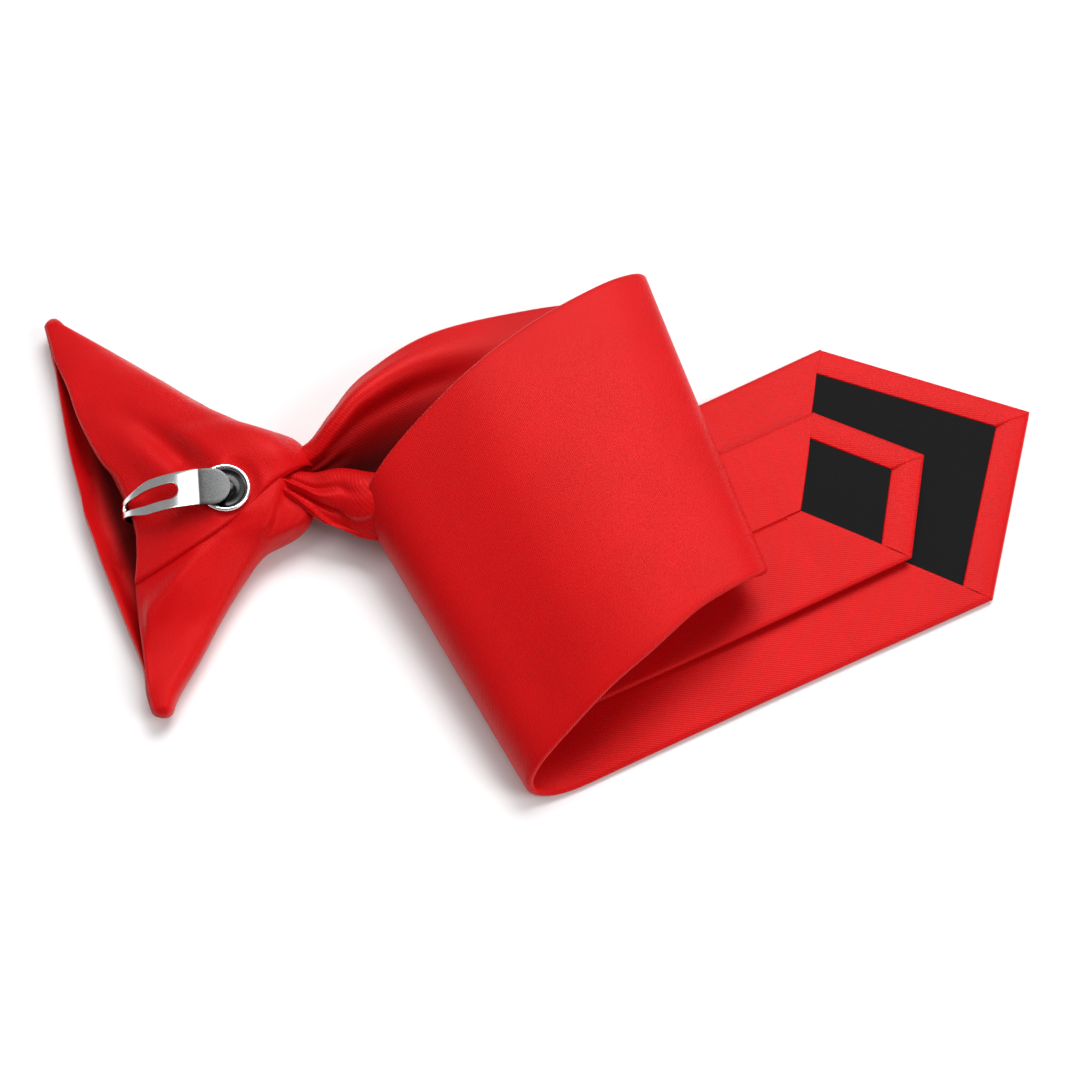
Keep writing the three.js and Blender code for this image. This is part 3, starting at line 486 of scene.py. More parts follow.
def turn(before, after, side, bulge, steps):
    """Cross lines of the turn between two legs: each end goes round half an ellipse about the cross line,
    sliding evenly along it."""
    ends = {end: (before[end][-1], after[end][0]) for end in ("lower", "upper")}
    across = ends["upper"][0] - ends["lower"][0] + ends["upper"][1] - ends["lower"][1]
    across = unit(across * [1, 1, 0])
    outward = np.array([across[1] * side, -across[0] * side, 0])
    flat = np.array([-outward[1], outward[0], 0])
    angle = np.linspace(0, np.pi, steps + 1)[1:-1]
    share = angle / np.pi
    lines = {name: 0 * angle for name in LINE_COLUMNS}
    lines["tail"] = before["tail"][-1] + (after["tail"][0] - before["tail"][-1]) * share
    for end, (start, stop) in ends.items():
        slide = start @ flat + (stop @ flat - start @ flat) * share
        half_rise = (stop[2] - start[2]) / 2
        middle = (start @ outward + stop @ outward) / 2
        spread = (start @ outward - stop @ outward) / 2
        out = middle + spread * np.cos(angle) + abs(half_rise) * bulge[end] * np.sin(angle)
        points = out[:, None] * outward + slide[:, None] * flat
        points[:, 2] = (start[2] + stop[2]) / 2 - half_rise * np.cos(angle)
        lines[end] = points
    return lines


def join_lines(*groups):
    """One run of cross lines from several."""
    return {name: np.concatenate([group[name] for group in groups]) for name in groups[0]}


def eased(lines, joins):
    """The cross lines with the bend at each join spread over its neighbours: every pass moves a point part of
    the way to the middle of the two beside it, by a bell curve of its distance from the join in lines."""
    index = np.arange(len(lines["tail"]))
    weight = sum(np.exp(-((index - join) / EASE_SPREAD) ** 2) for join in joins)[1:-1, None] * 0.5
    for end in ("lower", "upper"):
        points = lines[end].copy()
        for _ in range(EASE_PASSES):
            points[1:-1] += weight * ((points[:-2] + points[2:]) / 2 - points[1:-1])
        lines[end] = points
    return lines


def blade_lines(thick, tail_thick):
    """All cross lines of the blade from inside the knot to the corners of its pointed end, and how many of
    them belong to the under leg."""
    table_level = thick / 2
    pass_level = table_level + thick + tail_thick + TAIL_EASE + 2 * LAYER_GAP
    cover_level = pass_level + thick + 2 * (tail_thick + TAIL_EASE) + 3 * LAYER_GAP
    under = leg(UNDER_LEG, pass_level, LEG_STEPS["under"])
    under = {name: values[LINES_IN_KNOT:] for name, values in under.items()}
    cover = leg(COVER_LEG, cover_level, LEG_STEPS["cover"])
    flat = leg(TABLE_LEG, table_level, LEG_STEPS["table"])
    right = turn(under, cover, 1, RIGHT_TURN_BULGE, TURN_STEPS["right"])
    left = turn(cover, flat, -1, LEFT_TURN_BULGE, TURN_STEPS["left"])
    counts = np.cumsum([len(group["tail"]) for group in (under, right, cover, left)])
    return eased(join_lines(under, right, cover, left, flat), counts - 0.5), counts[0]


def pleat_place(lines, across):
    """Places across the blade stretched in two even parts, so that the lower roll ends where each line's fold
    is."""
    fold = lines["fold"][:, None]
    below = (across + 1) * (HOLLOW_EDGE + 1) / (fold + 1) - 1
    above = HOLLOW_EDGE + (across - fold) * (1 - HOLLOW_EDGE) / (1 - fold)
    return np.clip(np.where(across < fold, below, above), -1, 1)


def hollow_painted_shade(lines, across):
    """How deep in the hollow's painted shade each place lies: full above the lower roll, and gone below the
    upper.
    """
    place = pleat_place(lines, across)
    above = smooth_step((HOLLOW_PAINTED_SHADE["gone"] - place) / HOLLOW_PAINTED_SHADE["fades"])
    below = smooth_step((place - HOLLOW_EDGE - HOLLOW_PAINTED_SHADE["begins"]) / HOLLOW_PAINTED_SHADE["over"])
    deep = smooth_step(lines["gather"][:, None] / HOLLOW_PAINTED_SHADE["gather"])
    return HOLLOW_PAINTED_SHADE["full"] * (above * below) * deep


def middle_surface(lines, across, hollow, gather_depth):
    """Middle surface of the wide blade: a straight cross line from its lower end at -1 to its upper one at 1,
    lifted and leant by the pleats of the gather, and lifted by an even bow."""
    share = (across[..., None] + 1) / 2
    points = lines["lower"][:, None] * (1 - share) + lines["upper"][:, None] * share
    pleat = pleat_place(lines, across)
    rise = look_up(GATHER, "across", "rise", pleat)
    rise = np.where(rise < 0, rise * hollow, rise)
    lean = look_up(GATHER, "across", "lean", pleat)
    reach = unit(lines["upper"] - lines["lower"])
    deep = lines["gather"][:, None] * gather_depth
    points += (deep * lean)[..., None] * reach[:, None]
    points[..., 2] += deep * rise
    points[..., 2] += lines["bow"][:, None] * BLADE_BOW * (1 - across**2)
    return points


def crease_relief(creases, along, across):
    """Sum of long thin bumps that follow the blade: a bell curve across, faded in and out along it."""
    total = np.zeros(np.broadcast(along, across).shape)
    for crease in creases:
        share = (along - crease["start"]) / (crease["end"] - crease["start"])
        place = crease["across0"] + (crease["across1"] - crease["across0"]) * np.clip(share, 0, 1)
        fade = smooth_step((1 - share) * 2.5)
        total = total + crease["rise"] * fade * np.exp(-((across - place) / crease["width"]) ** 2)
    return total


def soft_waves(points, size, seed):
    """Slow uneven waves from three crossed sines, between about -1 and 1."""
    turns = np.random.default_rng(seed).uniform(0, 2 * np.pi, (3, 2))
    total = 0
    for k, (turned, phase) in enumerate(turns):
        wave = 2 * np.pi / (size * (1 + 0.37 * k))
        run = points[..., 0] * np.cos(turned) + points[..., 1] * np.sin(turned)
        total = total + np.sin(wave * run + phase)
    return total / 3


def cloth_waves(points):
    """The slight unevenness of soft cloth that lies flat, in metres."""
    return soft_waves(points, 0.034, 3) * 0.00010


def grid_faces(rows, columns, wrap_rows, wrap_columns, start):
    """Four corners of each cell of a grid whose points are numbered row by row."""
    i, j = np.meshgrid(np.arange(rows if wrap_rows else rows - 1),
                       np.arange(columns if wrap_columns else columns - 1), indexing="ij")
    after_i = (i + 1) % rows
    after_j = (j + 1) % columns
    corners = [i * columns + j, after_i * columns + j, after_i * columns + after_j, i * columns + after_j]
    return np.stack(corners, -1).reshape(-1, 4) + start


def merged_object(name, verts, uvs, faces, material, painted_shades=None):
    """An object with its cloth map and the painted shade of its folds, doubles merged and faces turned
    outwards.
    """
    mesh = bpy.data.meshes.new(name)
    mesh.from_pydata(verts.tolist(), [], faces)
    layer = mesh.uv_layers.new(name="cloth")
    corner_points = np.zeros(len(mesh.loops), int)
    mesh.loops.foreach_get("vertex_index", corner_points)
    layer.data.foreach_set("uv", uvs[corner_points].astype(np.float32).ravel())
    # The painted shade of folds goes on the mesh as the shade attribute, which darkens the satin's colour
    if painted_shades is not None:
        depth = mesh.attributes.new("shade", "FLOAT", "POINT")
        depth.data.foreach_set("value", painted_shades.astype(np.float32))
    work = bmesh.new()
    work.from_mesh(mesh)
    bmesh.ops.remove_doubles(work, verts=work.verts, dist=2e-6)
    bmesh.ops.dissolve_degenerate(work, edges=work.edges, dist=1e-7)
    bmesh.ops.recalc_face_normals(work, faces=work.faces)
    work.to_mesh(mesh)
    work.free()
    mesh.shade_smooth()
    mesh.materials.append(material)
    piece = bpy.data.objects.new(name, mesh)
    bpy.context.scene.collection.objects.link(piece)
    return piece


def make_piece(name, grids, material, sharp=50.0, place=None):
    """One object from several closed grids.

    A grid is a dict: points in rows and columns, uv for each, how deep each lies in the painted shade of a
    fold, which of the two ways it closes on itself, and whether its first and last row are capped.
    """
    verts, uvs, painted_shades, faces, start = [], [], [], [], 0
    for grid in grids:
        rows, columns = grid["points"].shape[:2]
        wrap_rows, wrap_columns = grid.get("wrap", (False, True))
        verts.append(grid["points"].reshape(-1, 3))
        uvs.append(grid["uv"].reshape(-1, 2))
        painted_shades.append(grid.get("shade", np.zeros((rows, columns))).ravel())
        faces += grid_faces(rows, columns, wrap_rows, wrap_columns, start).tolist()
        if grid.get("capped", False):
            faces.append(list(range(start, start + columns)))
            faces.append(list(range(start + (rows - 1) * columns, start + rows * columns)))
        start += rows * columns
    verts = np.concatenate(verts)
    verts = verts if place is None else verts + place
    piece = merged_object(name, verts, np.concatenate(uvs), faces, material, np.concatenate(painted_shades))
    piece.data.set_sharp_from_angle(angle=np.radians(sharp))
    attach(piece, BODY)
    return piece


class Wire:
    """A shader socket on which arithmetic adds Math nodes."""

    def __init__(self, shader, socket):
        self.shader = shader
        self.socket = socket

    def math(self, operation, *values):
        return self.shader.node("ShaderNodeMath", {"operation": operation}, [self, *values])["Value"]

    def __add__(self, other):
        return self.math("ADD", other)

    def __sub__(self, other):
        return self.math("SUBTRACT", other)

    def __mul__(self, other):
        return self.math("MULTIPLY", other)

    def __truediv__(self, other):
        return self.math("DIVIDE", other)

    def __rsub__(self, other):
        return self.shader.node("ShaderNodeMath", {"operation": "SUBTRACT"}, [other, self])["Value"]

    __radd__ = __add__
    __rmul__ = __mul__


class Shader:
    """Node tree of one material, with its main surface shader."""

    def __init__(self, name):
        self.material = bpy.data.materials.new(name)
        self.material.use_nodes = True
        self.tree = self.material.node_tree
        self.surface = self.tree.nodes["Principled BSDF"]

    def node(self, kind, settings=None, inputs=None):
        """A node of a type, with its settings made first and its sockets then filled by place or by name.
        What comes back gives its outputs as wires by name."""
        made = self.tree.nodes.new(kind)
        for key, value in (settings or {}).items():
            if key == "stops":
                self.set_stops(made.color_ramp, value)
            else:
                setattr(made, key, value)
        named = inputs.items() if isinstance(inputs, dict) else enumerate(inputs or [])
        for key, value in named:
            self.feed(made.inputs[key], value)
        return {socket.name: Wire(self, socket) for socket in reversed(made.outputs) if socket.enabled}

    def set_stops(self, ramp, stops):
        """The stops of a colour ramp, each a place and a colour."""
        while len(ramp.elements) < len(stops):
            ramp.elements.new(0.5)
        for element, (place, colour) in zip(ramp.elements, stops):
            element.position = place
            element.color = colour

    def feed(self, socket, value):
        """A wire linked to a socket, or a plain value set on it."""
        if isinstance(value, Wire):
            self.tree.links.new(value.socket, socket)
        else:
            socket.default_value = value

    def set(self, **values):
        """Constants and wires for the surface shader, by socket name with underscores for spaces."""
        for key, value in values.items():
            self.feed(self.surface.inputs[key.replace("_", " ")], value)

    def noise(self, vector, scale, detail=2.0, roughness=0.5):
        inputs = {"Vector": vector, "Scale": scale, "Detail": detail, "Roughness": roughness}
        return self.node("ShaderNodeTexNoise", None, inputs)["Fac"]

    def blend(self, factor, first, second):
        inputs = {0: factor, 6: first, 7: second}
        made = self.node("ShaderNodeMix", {"data_type": "RGBA"}, inputs)
        return made["Result"]

    def fade_out(self, value):
        """1 below 0, 0 above 1, and an even fall between them."""
        return self.node("ShaderNodeValToRGB", FADE_OUT, [value])["Color"]

    def bump(self, height, distance, strength):
        inputs = {"Height": height, "Distance": distance, "Strength": strength}
        return self.node("ShaderNodeBump", None, inputs)["Normal"]


def ribs(shader, cloth, pitch, slope):
    """Even ribs across the cloth: a sine of the distance along a sloped line, from 0 to 1."""
    turned = np.radians(slope)
    wave = 2 * np.pi / pitch
    parts = shader.node("ShaderNodeSeparateXYZ", None, [cloth])
    phase = parts["X"] * (wave * np.cos(turned)) + parts["Y"] * (wave * np.sin(turned))
    return phase.math("SINE") * 0.5 + 0.5


def rgba(colour, scale=1.0):
    """A colour with its brightness scaled, and full alpha."""
    return (*[min(1.0, part * scale) for part in colour], 1.0)


def satin_material(colour, pitch):
    """Woven satin: fine sloped ribs and threads, a slow change of tone, and a soft sheen. It is darker, by
    painted shade, and duller where the mesh's shade says that it lies deep in a fold."""
    shader = Shader("red_satin")
    cloth = shader.node("ShaderNodeTexCoord")["UV"]
    rib = ribs(shader, cloth, pitch, 58)
    thread = ribs(shader, cloth, pitch * 0.62, -34)
    fleck = shader.noise(cloth, FLECK_SCALE, 2.0, 0.6)
    tone = shader.noise(cloth, TONE_SCALE, 3.0, 0.55)
    shade = rib * 0.22 + thread * 0.10 + fleck * 1.00 + tone * 0.48
    # The last colour is painted shade: the satin darkened to a twentieth, for deep folds and the knot's mouth
    deep, bright, painted_shade_colour = rgba(colour, 0.60), rgba(colour, 1.14), rgba(colour, 0.05)
    woven = shader.blend((shade - 0.42) * 1.05, deep, bright)
    # How much painted shade each point has, read from the mesh's shade attribute
    inside = shader.node("ShaderNodeAttribute", {"attribute_name": "shade"})["Fac"]
    shader.set(
        Base_Color=shader.blend(inside, woven, painted_shade_colour),
        Roughness=0.36 + fleck * 0.12 + inside * 0.35,
        Specular_IOR_Level=0.62,
        Specular_Tint=(1.0, 0.13, 0.12, 1.0),
        Sheen_Weight=0.05,
        Sheen_Roughness=0.4,
        Sheen_Tint=(1.0, 0.16, 0.14, 1.0),
        Normal=shader.bump(rib * 0.5 + thread * 0.2 + fleck * 0.8, 0.00010, 0.6),
    )
    return shader.material


def twill_material(colour, pitch):
    """Matte black twill: steep fine ribs crossed by the weft, with faint flecks."""
    shader = Shader("black_twill")
    cloth = shader.node("ShaderNodeTexCoord")["UV"]
    rib = ribs(shader, cloth, pitch * 0.9, 45)
    weft = ribs(shader, cloth, pitch * 0.9, -45)
    fleck = shader.noise(cloth, TWILL_FLECK_SCALE, 2.0, 0.6)
    shade = rib * weft * 0.6 + fleck * 0.5
    shader.set(
        Base_Color=shader.blend(shade, rgba(colour, 0.55), rgba(colour, 2.1)),
        Roughness=0.78 + fleck * 0.15,
        Specular_IOR_Level=0.14,
        Sheen_Weight=0.02,
        Sheen_Roughness=0.5,
        Normal=shader.bump(rib * 0.6 + weft * 0.3, 0.00008, 0.5),
    )
    return shader.material


def steel_material(name, colour, dark_from=None, painted_reflection_within=None):
    """Polished plate on steel: fine brushing and faint smudges. Where the piece's own run is below a value,
    the plate is dark and grained, as on the strap's pressed end. Within a radius it has a painted dark
    reflection, grained, as in the dish."""
    shader = Shader(name)
    cloth = shader.node("ShaderNodeTexCoord")["UV"]
    place = shader.node("ShaderNodeTexCoord")["Object"]
    stretched = shader.node("ShaderNodeMapping", None, {"Vector": cloth, "Scale": BRUSH_SCALE})["Vector"]
    brushed = shader.noise(stretched, 1.0, 2.0, 0.6)
    smudge = shader.noise(place, SMUDGE_SCALE, 3.0, 0.6)
    grain = shader.noise(place, GRAIN_SCALE, 2.0, 0.75)
    black = rgba(colour, 0.008)
    bright = shader.blend(smudge, rgba(colour, 0.86), rgba(colour, 1.12))
    rough = 0.10 + smudge * 0.10 + brushed * 0.06
    if dark_from is not None:
        run = shader.node("ShaderNodeSeparateXYZ", None, [cloth])["X"]
        pressed = shader.fade_out((run - dark_from) / STRAP_DARK_BORDER)
        towards_nose = ((dark_from - run) / STRAP_DARK_RUN) * 0.75
        speck = shader.blend(grain * 0.8 + towards_nose * 0.5 - 0.15, black, rgba(colour, 0.20))
        bright = shader.blend(pressed, bright, speck)
        rough = rough + pressed * 0.22
    # Painted dark reflection: within the radius the plate's colour goes near black, with grain, as in the
    # disc's dish
    if painted_reflection_within is not None:
        radius = shader.node("ShaderNodeVectorMath", {"operation": "LENGTH"}, [cloth])["Value"]
        painted_reflection = shader.fade_out((radius - painted_reflection_within) / DISC_PAINTED_REFLECTION_BORDER)
        bright = shader.blend(painted_reflection, bright, shader.blend(grain, black, rgba(colour, 0.05)))
    shader.set(
        Base_Color=bright,
        Metallic=1.0,
        Roughness=rough,
        Normal=shader.bump(brushed * 0.5 + grain * 0.3, 0.00002, 0.35),
    )
    return shader.material


def materials():
    """The finishes of the tie, made once and then found by name."""
    blade = bpy.context.scene.necktie_blade
    clip = bpy.context.scene.necktie_clip
    found = bpy.data.materials
    # Radius within which the disc's steel has a painted dark reflection
    painted_reflection = clip.disc * DISC_PAINTED_REFLECTION_SHARE
    return {
        "satin": found.get("red_satin") or satin_material(blade.colour, blade.rib_pitch),
        "twill": found.get("black_twill") or twill_material(blade.tipping_colour, blade.rib_pitch),
        "strap": found.get("strap_steel") or steel_material("strap_steel", clip.colour, STRAP_DARK_END),
        "disc": found.get("disc_steel") or steel_material("disc_steel", clip.colour, None, painted_reflection),
    }


def blade_grid(lines, columns, shape, relief):
    """Closed grid of a folded blade: flat faces a thickness apart, joined by half-round folds at both edges.

    Each point lies off the wide blade's middle surface along its normal. Relief lifts the back by a function
    of the place along and across.
    """
    spread = lines["tail"] if shape["is_tail"] else np.ones(len(lines["tail"]))
    half = np.linalg.norm(lines["upper"] - lines["lower"], axis=1) / 2 * spread
    radius = np.minimum(shape["thick"] / 2, half * 0.8)
    inner = 1 - radius / half
    across = columns[None] * inner[:, None]
    place = across * spread[:, None] + shape["shift"][:, None]
    depth = (shape["hollow"], shape["gather"])
    middle = middle_surface(lines, place, *depth)
    lengthwise = np.gradient(middle, axis=0)
    crosswise = middle_surface(lines, place + shape["span"], *depth)
    crosswise = unit(crosswise - middle_surface(lines, place - shape["span"], *depth))
    normal = unit(np.cross(lengthwise, crosswise))
    centre = middle + normal * shape["offset"]
    lift = relief(shape["along"][:, None], columns[None], across * half[:, None], middle)
    top = centre + normal * (shape["thick"] / 2 + lift)[..., None]
    bottom = centre - normal * (shape["thick"] / 2)
    angle = np.linspace(0, np.pi, EDGE_STEPS + 2)[1:-1]
    # Painted shade of the hollow beside the neck, carried on the mesh to darken the cloth's colour there
    shade = hollow_painted_shade(lines, place)
    rings, painted_shades = [top], [shade]
    for j, side, turned in ((-1, 1, angle), (0, -1, angle[::-1])):
        upper_half = np.clip(np.cos(turned), 0, 1)[None] * lift[:, j:j + 1 or None]
        height = (np.cos(turned)[None] * shape["thick"] / 2 + upper_half)[..., None]
        out = side * np.sin(turned)[None, :, None] * radius[:, None, None]
        fold = centre[:, j:j + 1 or None] + normal[:, j:j + 1 or None] * height
        fold = fold + crosswise[:, j:j + 1 or None] * out
        rings.append(fold)
        painted_shades.append(shade[:, j:j + 1 or None] + 0 * out[..., 0])
        if side == 1:
            rings.append(bottom[:, ::-1])
            painted_shades.append(shade[:, ::-1])
    steps = np.linalg.norm(np.diff(middle[:, middle.shape[1] // 2], axis=0), axis=1)
    run = np.concatenate([[0], np.cumsum(steps)])
    flat = across * half[:, None]
    edge = flat[:, -1:] + radius[:, None] * np.sin(angle)[None]
    v = np.concatenate([flat, edge, flat[:, ::-1], -edge], 1)
    uv = np.stack([np.broadcast_to(run[:, None], v.shape), v], -1)
    return {"points": np.concatenate(rings, 1), "uv": uv, "capped": True, "shade": np.concatenate(painted_shades, 1)}


def seam_relief(step, distance):
    """The lower back flap lies an even step below the upper one, with a narrow groove along its foot, which
    is a bell curve of the distance from the seam."""
    down = smooth_step(-distance / FLAP_STEP_WIDTH)
    groove = np.exp(-((distance + FLAP_GROOVE["place"]) / FLAP_GROOVE["width"]) ** 2)
    return -step * down - FLAP_GROOVE["depth"] * groove


def blade_columns(count, seam):
    """Places across the blade from -1 to 1, crowded at the seam of its back flaps and near its folds."""
    even = np.linspace(-1, 1, count)
    near = seam + np.array(SEAM_COLUMNS) * SEAM_BAND["reach"]
    clear = even[np.abs(even - seam - SEAM_BAND["middle"]) > SEAM_BAND["half"]]
    return np.sort(np.concatenate([clear, near]))


def window_corners(half, corner_run, tip_length, hem):
    """Front, side and back corners of the kite between the hems and the slanted ends of the back flaps."""
    tip_angle = np.arctan2(half, tip_length)
    front = corner_run + tip_length - hem / np.sin(tip_angle)
    back = corner_run - FLAP_SLOPE * half
    rate = half / tip_length
    side = (front - back) / (1 / rate + FLAP_SLOPE)
    return np.array([front, 0]), np.array([front - side / rate, side]), np.array([back, 0])


def path_points(corners, counts):
    """Points along a path of straight stretches, crowded at its corners, and the stretch of each point."""
    points, stretch = [], []
    for k, count in enumerate(counts):
        share = (0.5 - 0.5 * np.cos(np.pi * np.arange(count) / count))[:, None]
        points.append(corners[k] * (1 - share) + corners[k + 1] * share)
        stretch.append(np.full(count, k))
    return np.concatenate(points), np.concatenate(stretch)


def end_paths(window, outline_half, cut, corner_run, tip_length):
    """The outline of a pointed end and the kite of its window, point for point, with each point's stretch.

    Both go from the lower corner to the body's last cross line, along it over the seam, and on to the upper
    corner, and then along both hems. The cut is the two ends of that cross line. A lap too short to be seen
    parts the flaps at the seam, the flaps from the hems, and the two hems at the point.
    """
    front, side, back = window
    low, high = cut
    lap = END_LAP
    seam = (low + high) / 2 + (high - low) / 2 * SEAM_ACROSS
    outline = [[corner_run, -outline_half], low, seam - [0, lap], seam + [0, lap], high,
               [corner_run, outline_half], [corner_run + lap, outline_half], [corner_run + tip_length, 0],
               [corner_run + tip_length, -lap], [corner_run + lap, -outline_half],
               [corner_run, -outline_half]]
    below = side * np.array([1, -1])
    lower = back * (1 - WINDOW_BETWEEN) + below * WINDOW_BETWEEN
    upper = back * (1 - WINDOW_BETWEEN) + side * WINDOW_BETWEEN
    kite = [below, lower, back, back, upper, side, side, front, front, below, below]
    outer, stretch = path_points(np.array(outline, float), END_COUNTS)
    inner, _ = path_points(np.array(kite, float), END_COUNTS)
    return outer, inner, stretch


def pointed_end(shape, window, outline_half, cut, corner_run, tip_length, step):
    """Closed grid of a blade's pointed end in its own flat frame, with the open window.

    Its rows go round the outline and its columns from the middle of the window's floor, up the window's
    rounded edge, over the flap or hem, round the outer fold, and to the middle of the underside.
    """
    front, _, back = window
    low, high = cut
    thick = shape["thick"]
    outer, inner, stretch = end_paths(window, outline_half, cut, corner_run, tip_length)
    is_hem = (stretch >= 5) & (stretch <= 9)
    is_cut = (stretch >= 1) & (stretch <= 3)
    is_low_flap = (stretch <= 1) | (stretch == 9) & (np.arange(len(stretch)) == len(stretch) - 1)
    heading = np.roll(outer, -1, 0) - np.roll(outer, 1, 0)
    outward = unit(np.stack([-heading[:, 1], heading[:, 0]], 1))
    centre = (front + back) / 2
    outward *= np.sign(np.sum(outward * (outer - centre), 1, keepdims=True))
    first, last = np.flatnonzero(is_cut)[0], np.flatnonzero(is_cut)[-1] + 1
    outward[is_cut] = 0
    outward[first], outward[last] = (0, -1), (0, 1)
    cut_way = unit(high - low)
    place = np.clip((outer - low) @ cut_way, thick / 2, np.linalg.norm(high - low) - thick / 2)
    between = is_cut & (np.arange(len(outer)) > first)
    outer[between] = (low + place[:, None] * cut_way)[between]
    from_point = np.linalg.norm(outer - [corner_run + tip_length, 0], axis=1)
    groove = MITRE["groove"] * np.exp(-((from_point / MITRE["groove_width"]) ** 2))
    lap = MITRE["lap"] * np.exp(-from_point / MITRE["lap_length"])
    folded = groove + np.where((stretch >= 7) & (stretch <= 8), lap, 0)
    radius = thick / 2
    rim = np.where(is_hem, HEM_DROP + folded, 0) + np.where(is_low_flap & ~is_hem, step, 0)
    top = shape["z"] + thick - rim
    floor = np.full(len(outer), shape["z"] + thick - shape["depth"])
    middle_height = shape["z"] + radius
    ring_way = unit(outer - inner) * WINDOW_EDGE
    columns = [(np.broadcast_to(centre, inner.shape), floor), (inner - ring_way, floor)]
    for angle in np.linspace(0, np.pi / 2, 4):
        columns.append((inner - ring_way * np.cos(angle), top - WINDOW_EDGE + WINDOW_EDGE * np.sin(angle)))
    inset = outer - outward * radius
    puff = shape["puff"]
    for share in np.linspace(0.04, 1, 10):
        bulge = puff * np.sin(np.pi * share) * is_hem
        columns.append((inner * (1 - share) + inset * share, top + bulge))
    for angle in np.linspace(0, np.pi, EDGE_STEPS + 2)[1:-1]:
        height = np.where(np.cos(angle) > 0, top - middle_height, radius) * np.cos(angle)
        columns.append((inset + outward * radius * np.sin(angle), middle_height + height))
    floor_side = np.full(len(outer), shape["z"])
    columns.append((inset, floor_side))
    columns.append((np.broadcast_to(centre, inner.shape), floor_side))
    flat = np.stack([place for place, _ in columns], 1)
    height = np.stack([np.broadcast_to(level, len(outer)) for _, level in columns], 1)
    placed = to_end({"points": np.concatenate([flat, height[..., None]], -1)}, shape["ends"])["points"]
    placed[..., 2] += cloth_waves(placed) * smooth_step((height - shape["z"] - radius) / radius)
    return {"points": placed, "uv": flat.copy(), "wrap": (True, False)}


def kite_plate(window, low, high):
    """Flat closed sheet that fills the window: rings from its middle out to the edge, above and below, with
    slow waves on the upper side."""
    front, side, back = window
    mirror = np.array([1, -1])
    corners = np.array([back, side, front, side * mirror, back])
    edge, _ = path_points(corners, [PLATE_SIDE] * 4)
    centre = (front + back) / 2
    edge = edge - unit(edge - centre) * TIPPING_EASE
    over, under = PLATE_RINGS["over"], PLATE_RINGS["under"]
    shares = np.concatenate([np.linspace(PLATE_CENTRE, 1, over), np.linspace(1, PLATE_CENTRE, under)])
    flat = centre + (edge - centre)[:, None] * shares[None, :, None]
    height = np.where(np.arange(len(shares)) < over, high, low)[None].repeat(len(edge), 0).astype(float)
    height[:, :over] += soft_waves(flat[:, :over], 0.03, 11) * 0.00012
    return {"points": np.concatenate([flat, height[..., None]], -1), "uv": flat.copy(), "wrap": (True, False)}


def end_frame(lines):
    """Middle of the corner line, the way along the blade and the way across it, at the flat end."""
    lower, upper = lines["lower"][-1], lines["upper"][-1]
    across = unit(upper - lower)
    return (lower + upper) / 2, np.array([across[1], -across[0], 0]), across


def to_end(grid, ends):
    """A grid in the flat end's own frame, put where the end lies."""
    middle, along, across = ends
    flat = grid["points"]
    placed = middle * [1, 1, 0] + flat[..., :1] * along + flat[..., 1:2] * across
    placed[..., 2] = flat[..., 2]
    return {**grid, "points": placed}


def lay_shift(window, ends):
    """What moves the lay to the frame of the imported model: the tipping's box there against the one here."""
    front, side, back = window
    middle, along, across = ends
    corners = np.array([front, side, back, side * np.array([1, -1])])
    points = middle + corners[:, :1] * along + corners[:, 1:] * across
    low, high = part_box("wide_tipping")
    here = (points.min(0) + points.max(0)) / 2
    there = (np.array(low) + np.array(high)) / 2
    return np.array([there[0] - here[0], there[1] - here[1], 0])


def tie_lay():
    """Everything that the pieces share: lines, sizes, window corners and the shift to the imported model."""
    blade = bpy.context.scene.necktie_blade
    lines, under_count = blade_lines(blade.thickness, blade.tail_thickness)
    ends = end_frame(lines)
    half = np.linalg.norm(lines["upper"][-1] - lines["lower"][-1]) / 2
    tail_corner = WIDE_TIP - TAIL_SET_BACK - TAIL_TIP
    lay = {
        "lines": lines,
        "under": under_count,
        "ends": ends,
        "half": half,
        "tail_corner": tail_corner,
        "offset": (blade.thickness + blade.tail_thickness) / 2 + LAYER_GAP + TAIL_EASE,
        "wide_window": window_corners(half, 0, WIDE_TIP, blade.hem),
        "tail_window": window_corners(TAIL_WIDTH / 2, tail_corner, TAIL_TIP, blade.hem),
    }
    lay["shift"] = lay_shift(lay["wide_window"], ends)
    return lay


def cut_lines(lines, ends, cut_run):
    """The cross lines up to a run along the flat end, with a last one exactly there."""
    middle, along, _ = ends
    runs = ((lines["lower"] + lines["upper"]) / 2 - middle) @ along
    is_table = np.arange(len(runs)) > len(runs) - TABLE_LINES
    keep = ~is_table | (runs < cut_run - LAST_LINE_GAP)
    kept = {name: values[keep] for name, values in lines.items()}
    share = (cut_run - runs[keep][-1]) / (runs[~keep][0] - runs[keep][-1])
    last = {name: values[keep][-1:] * (1 - share) + values[~keep][:1] * share
            for name, values in lines.items()}
    return join_lines(kept, last)


def cut_reach(lines, spread, ends):
    """Both ends of the last cross line in the flat end's own frame."""
    middle, along, across = ends
    lower, upper = lines["lower"][-1], lines["upper"][-1]
    centre, reach = (lower + upper) / 2 - middle, (upper - lower) / 2 * spread
    return [np.array([point @ along, point @ across]) for point in (centre - reach, centre + reach)]


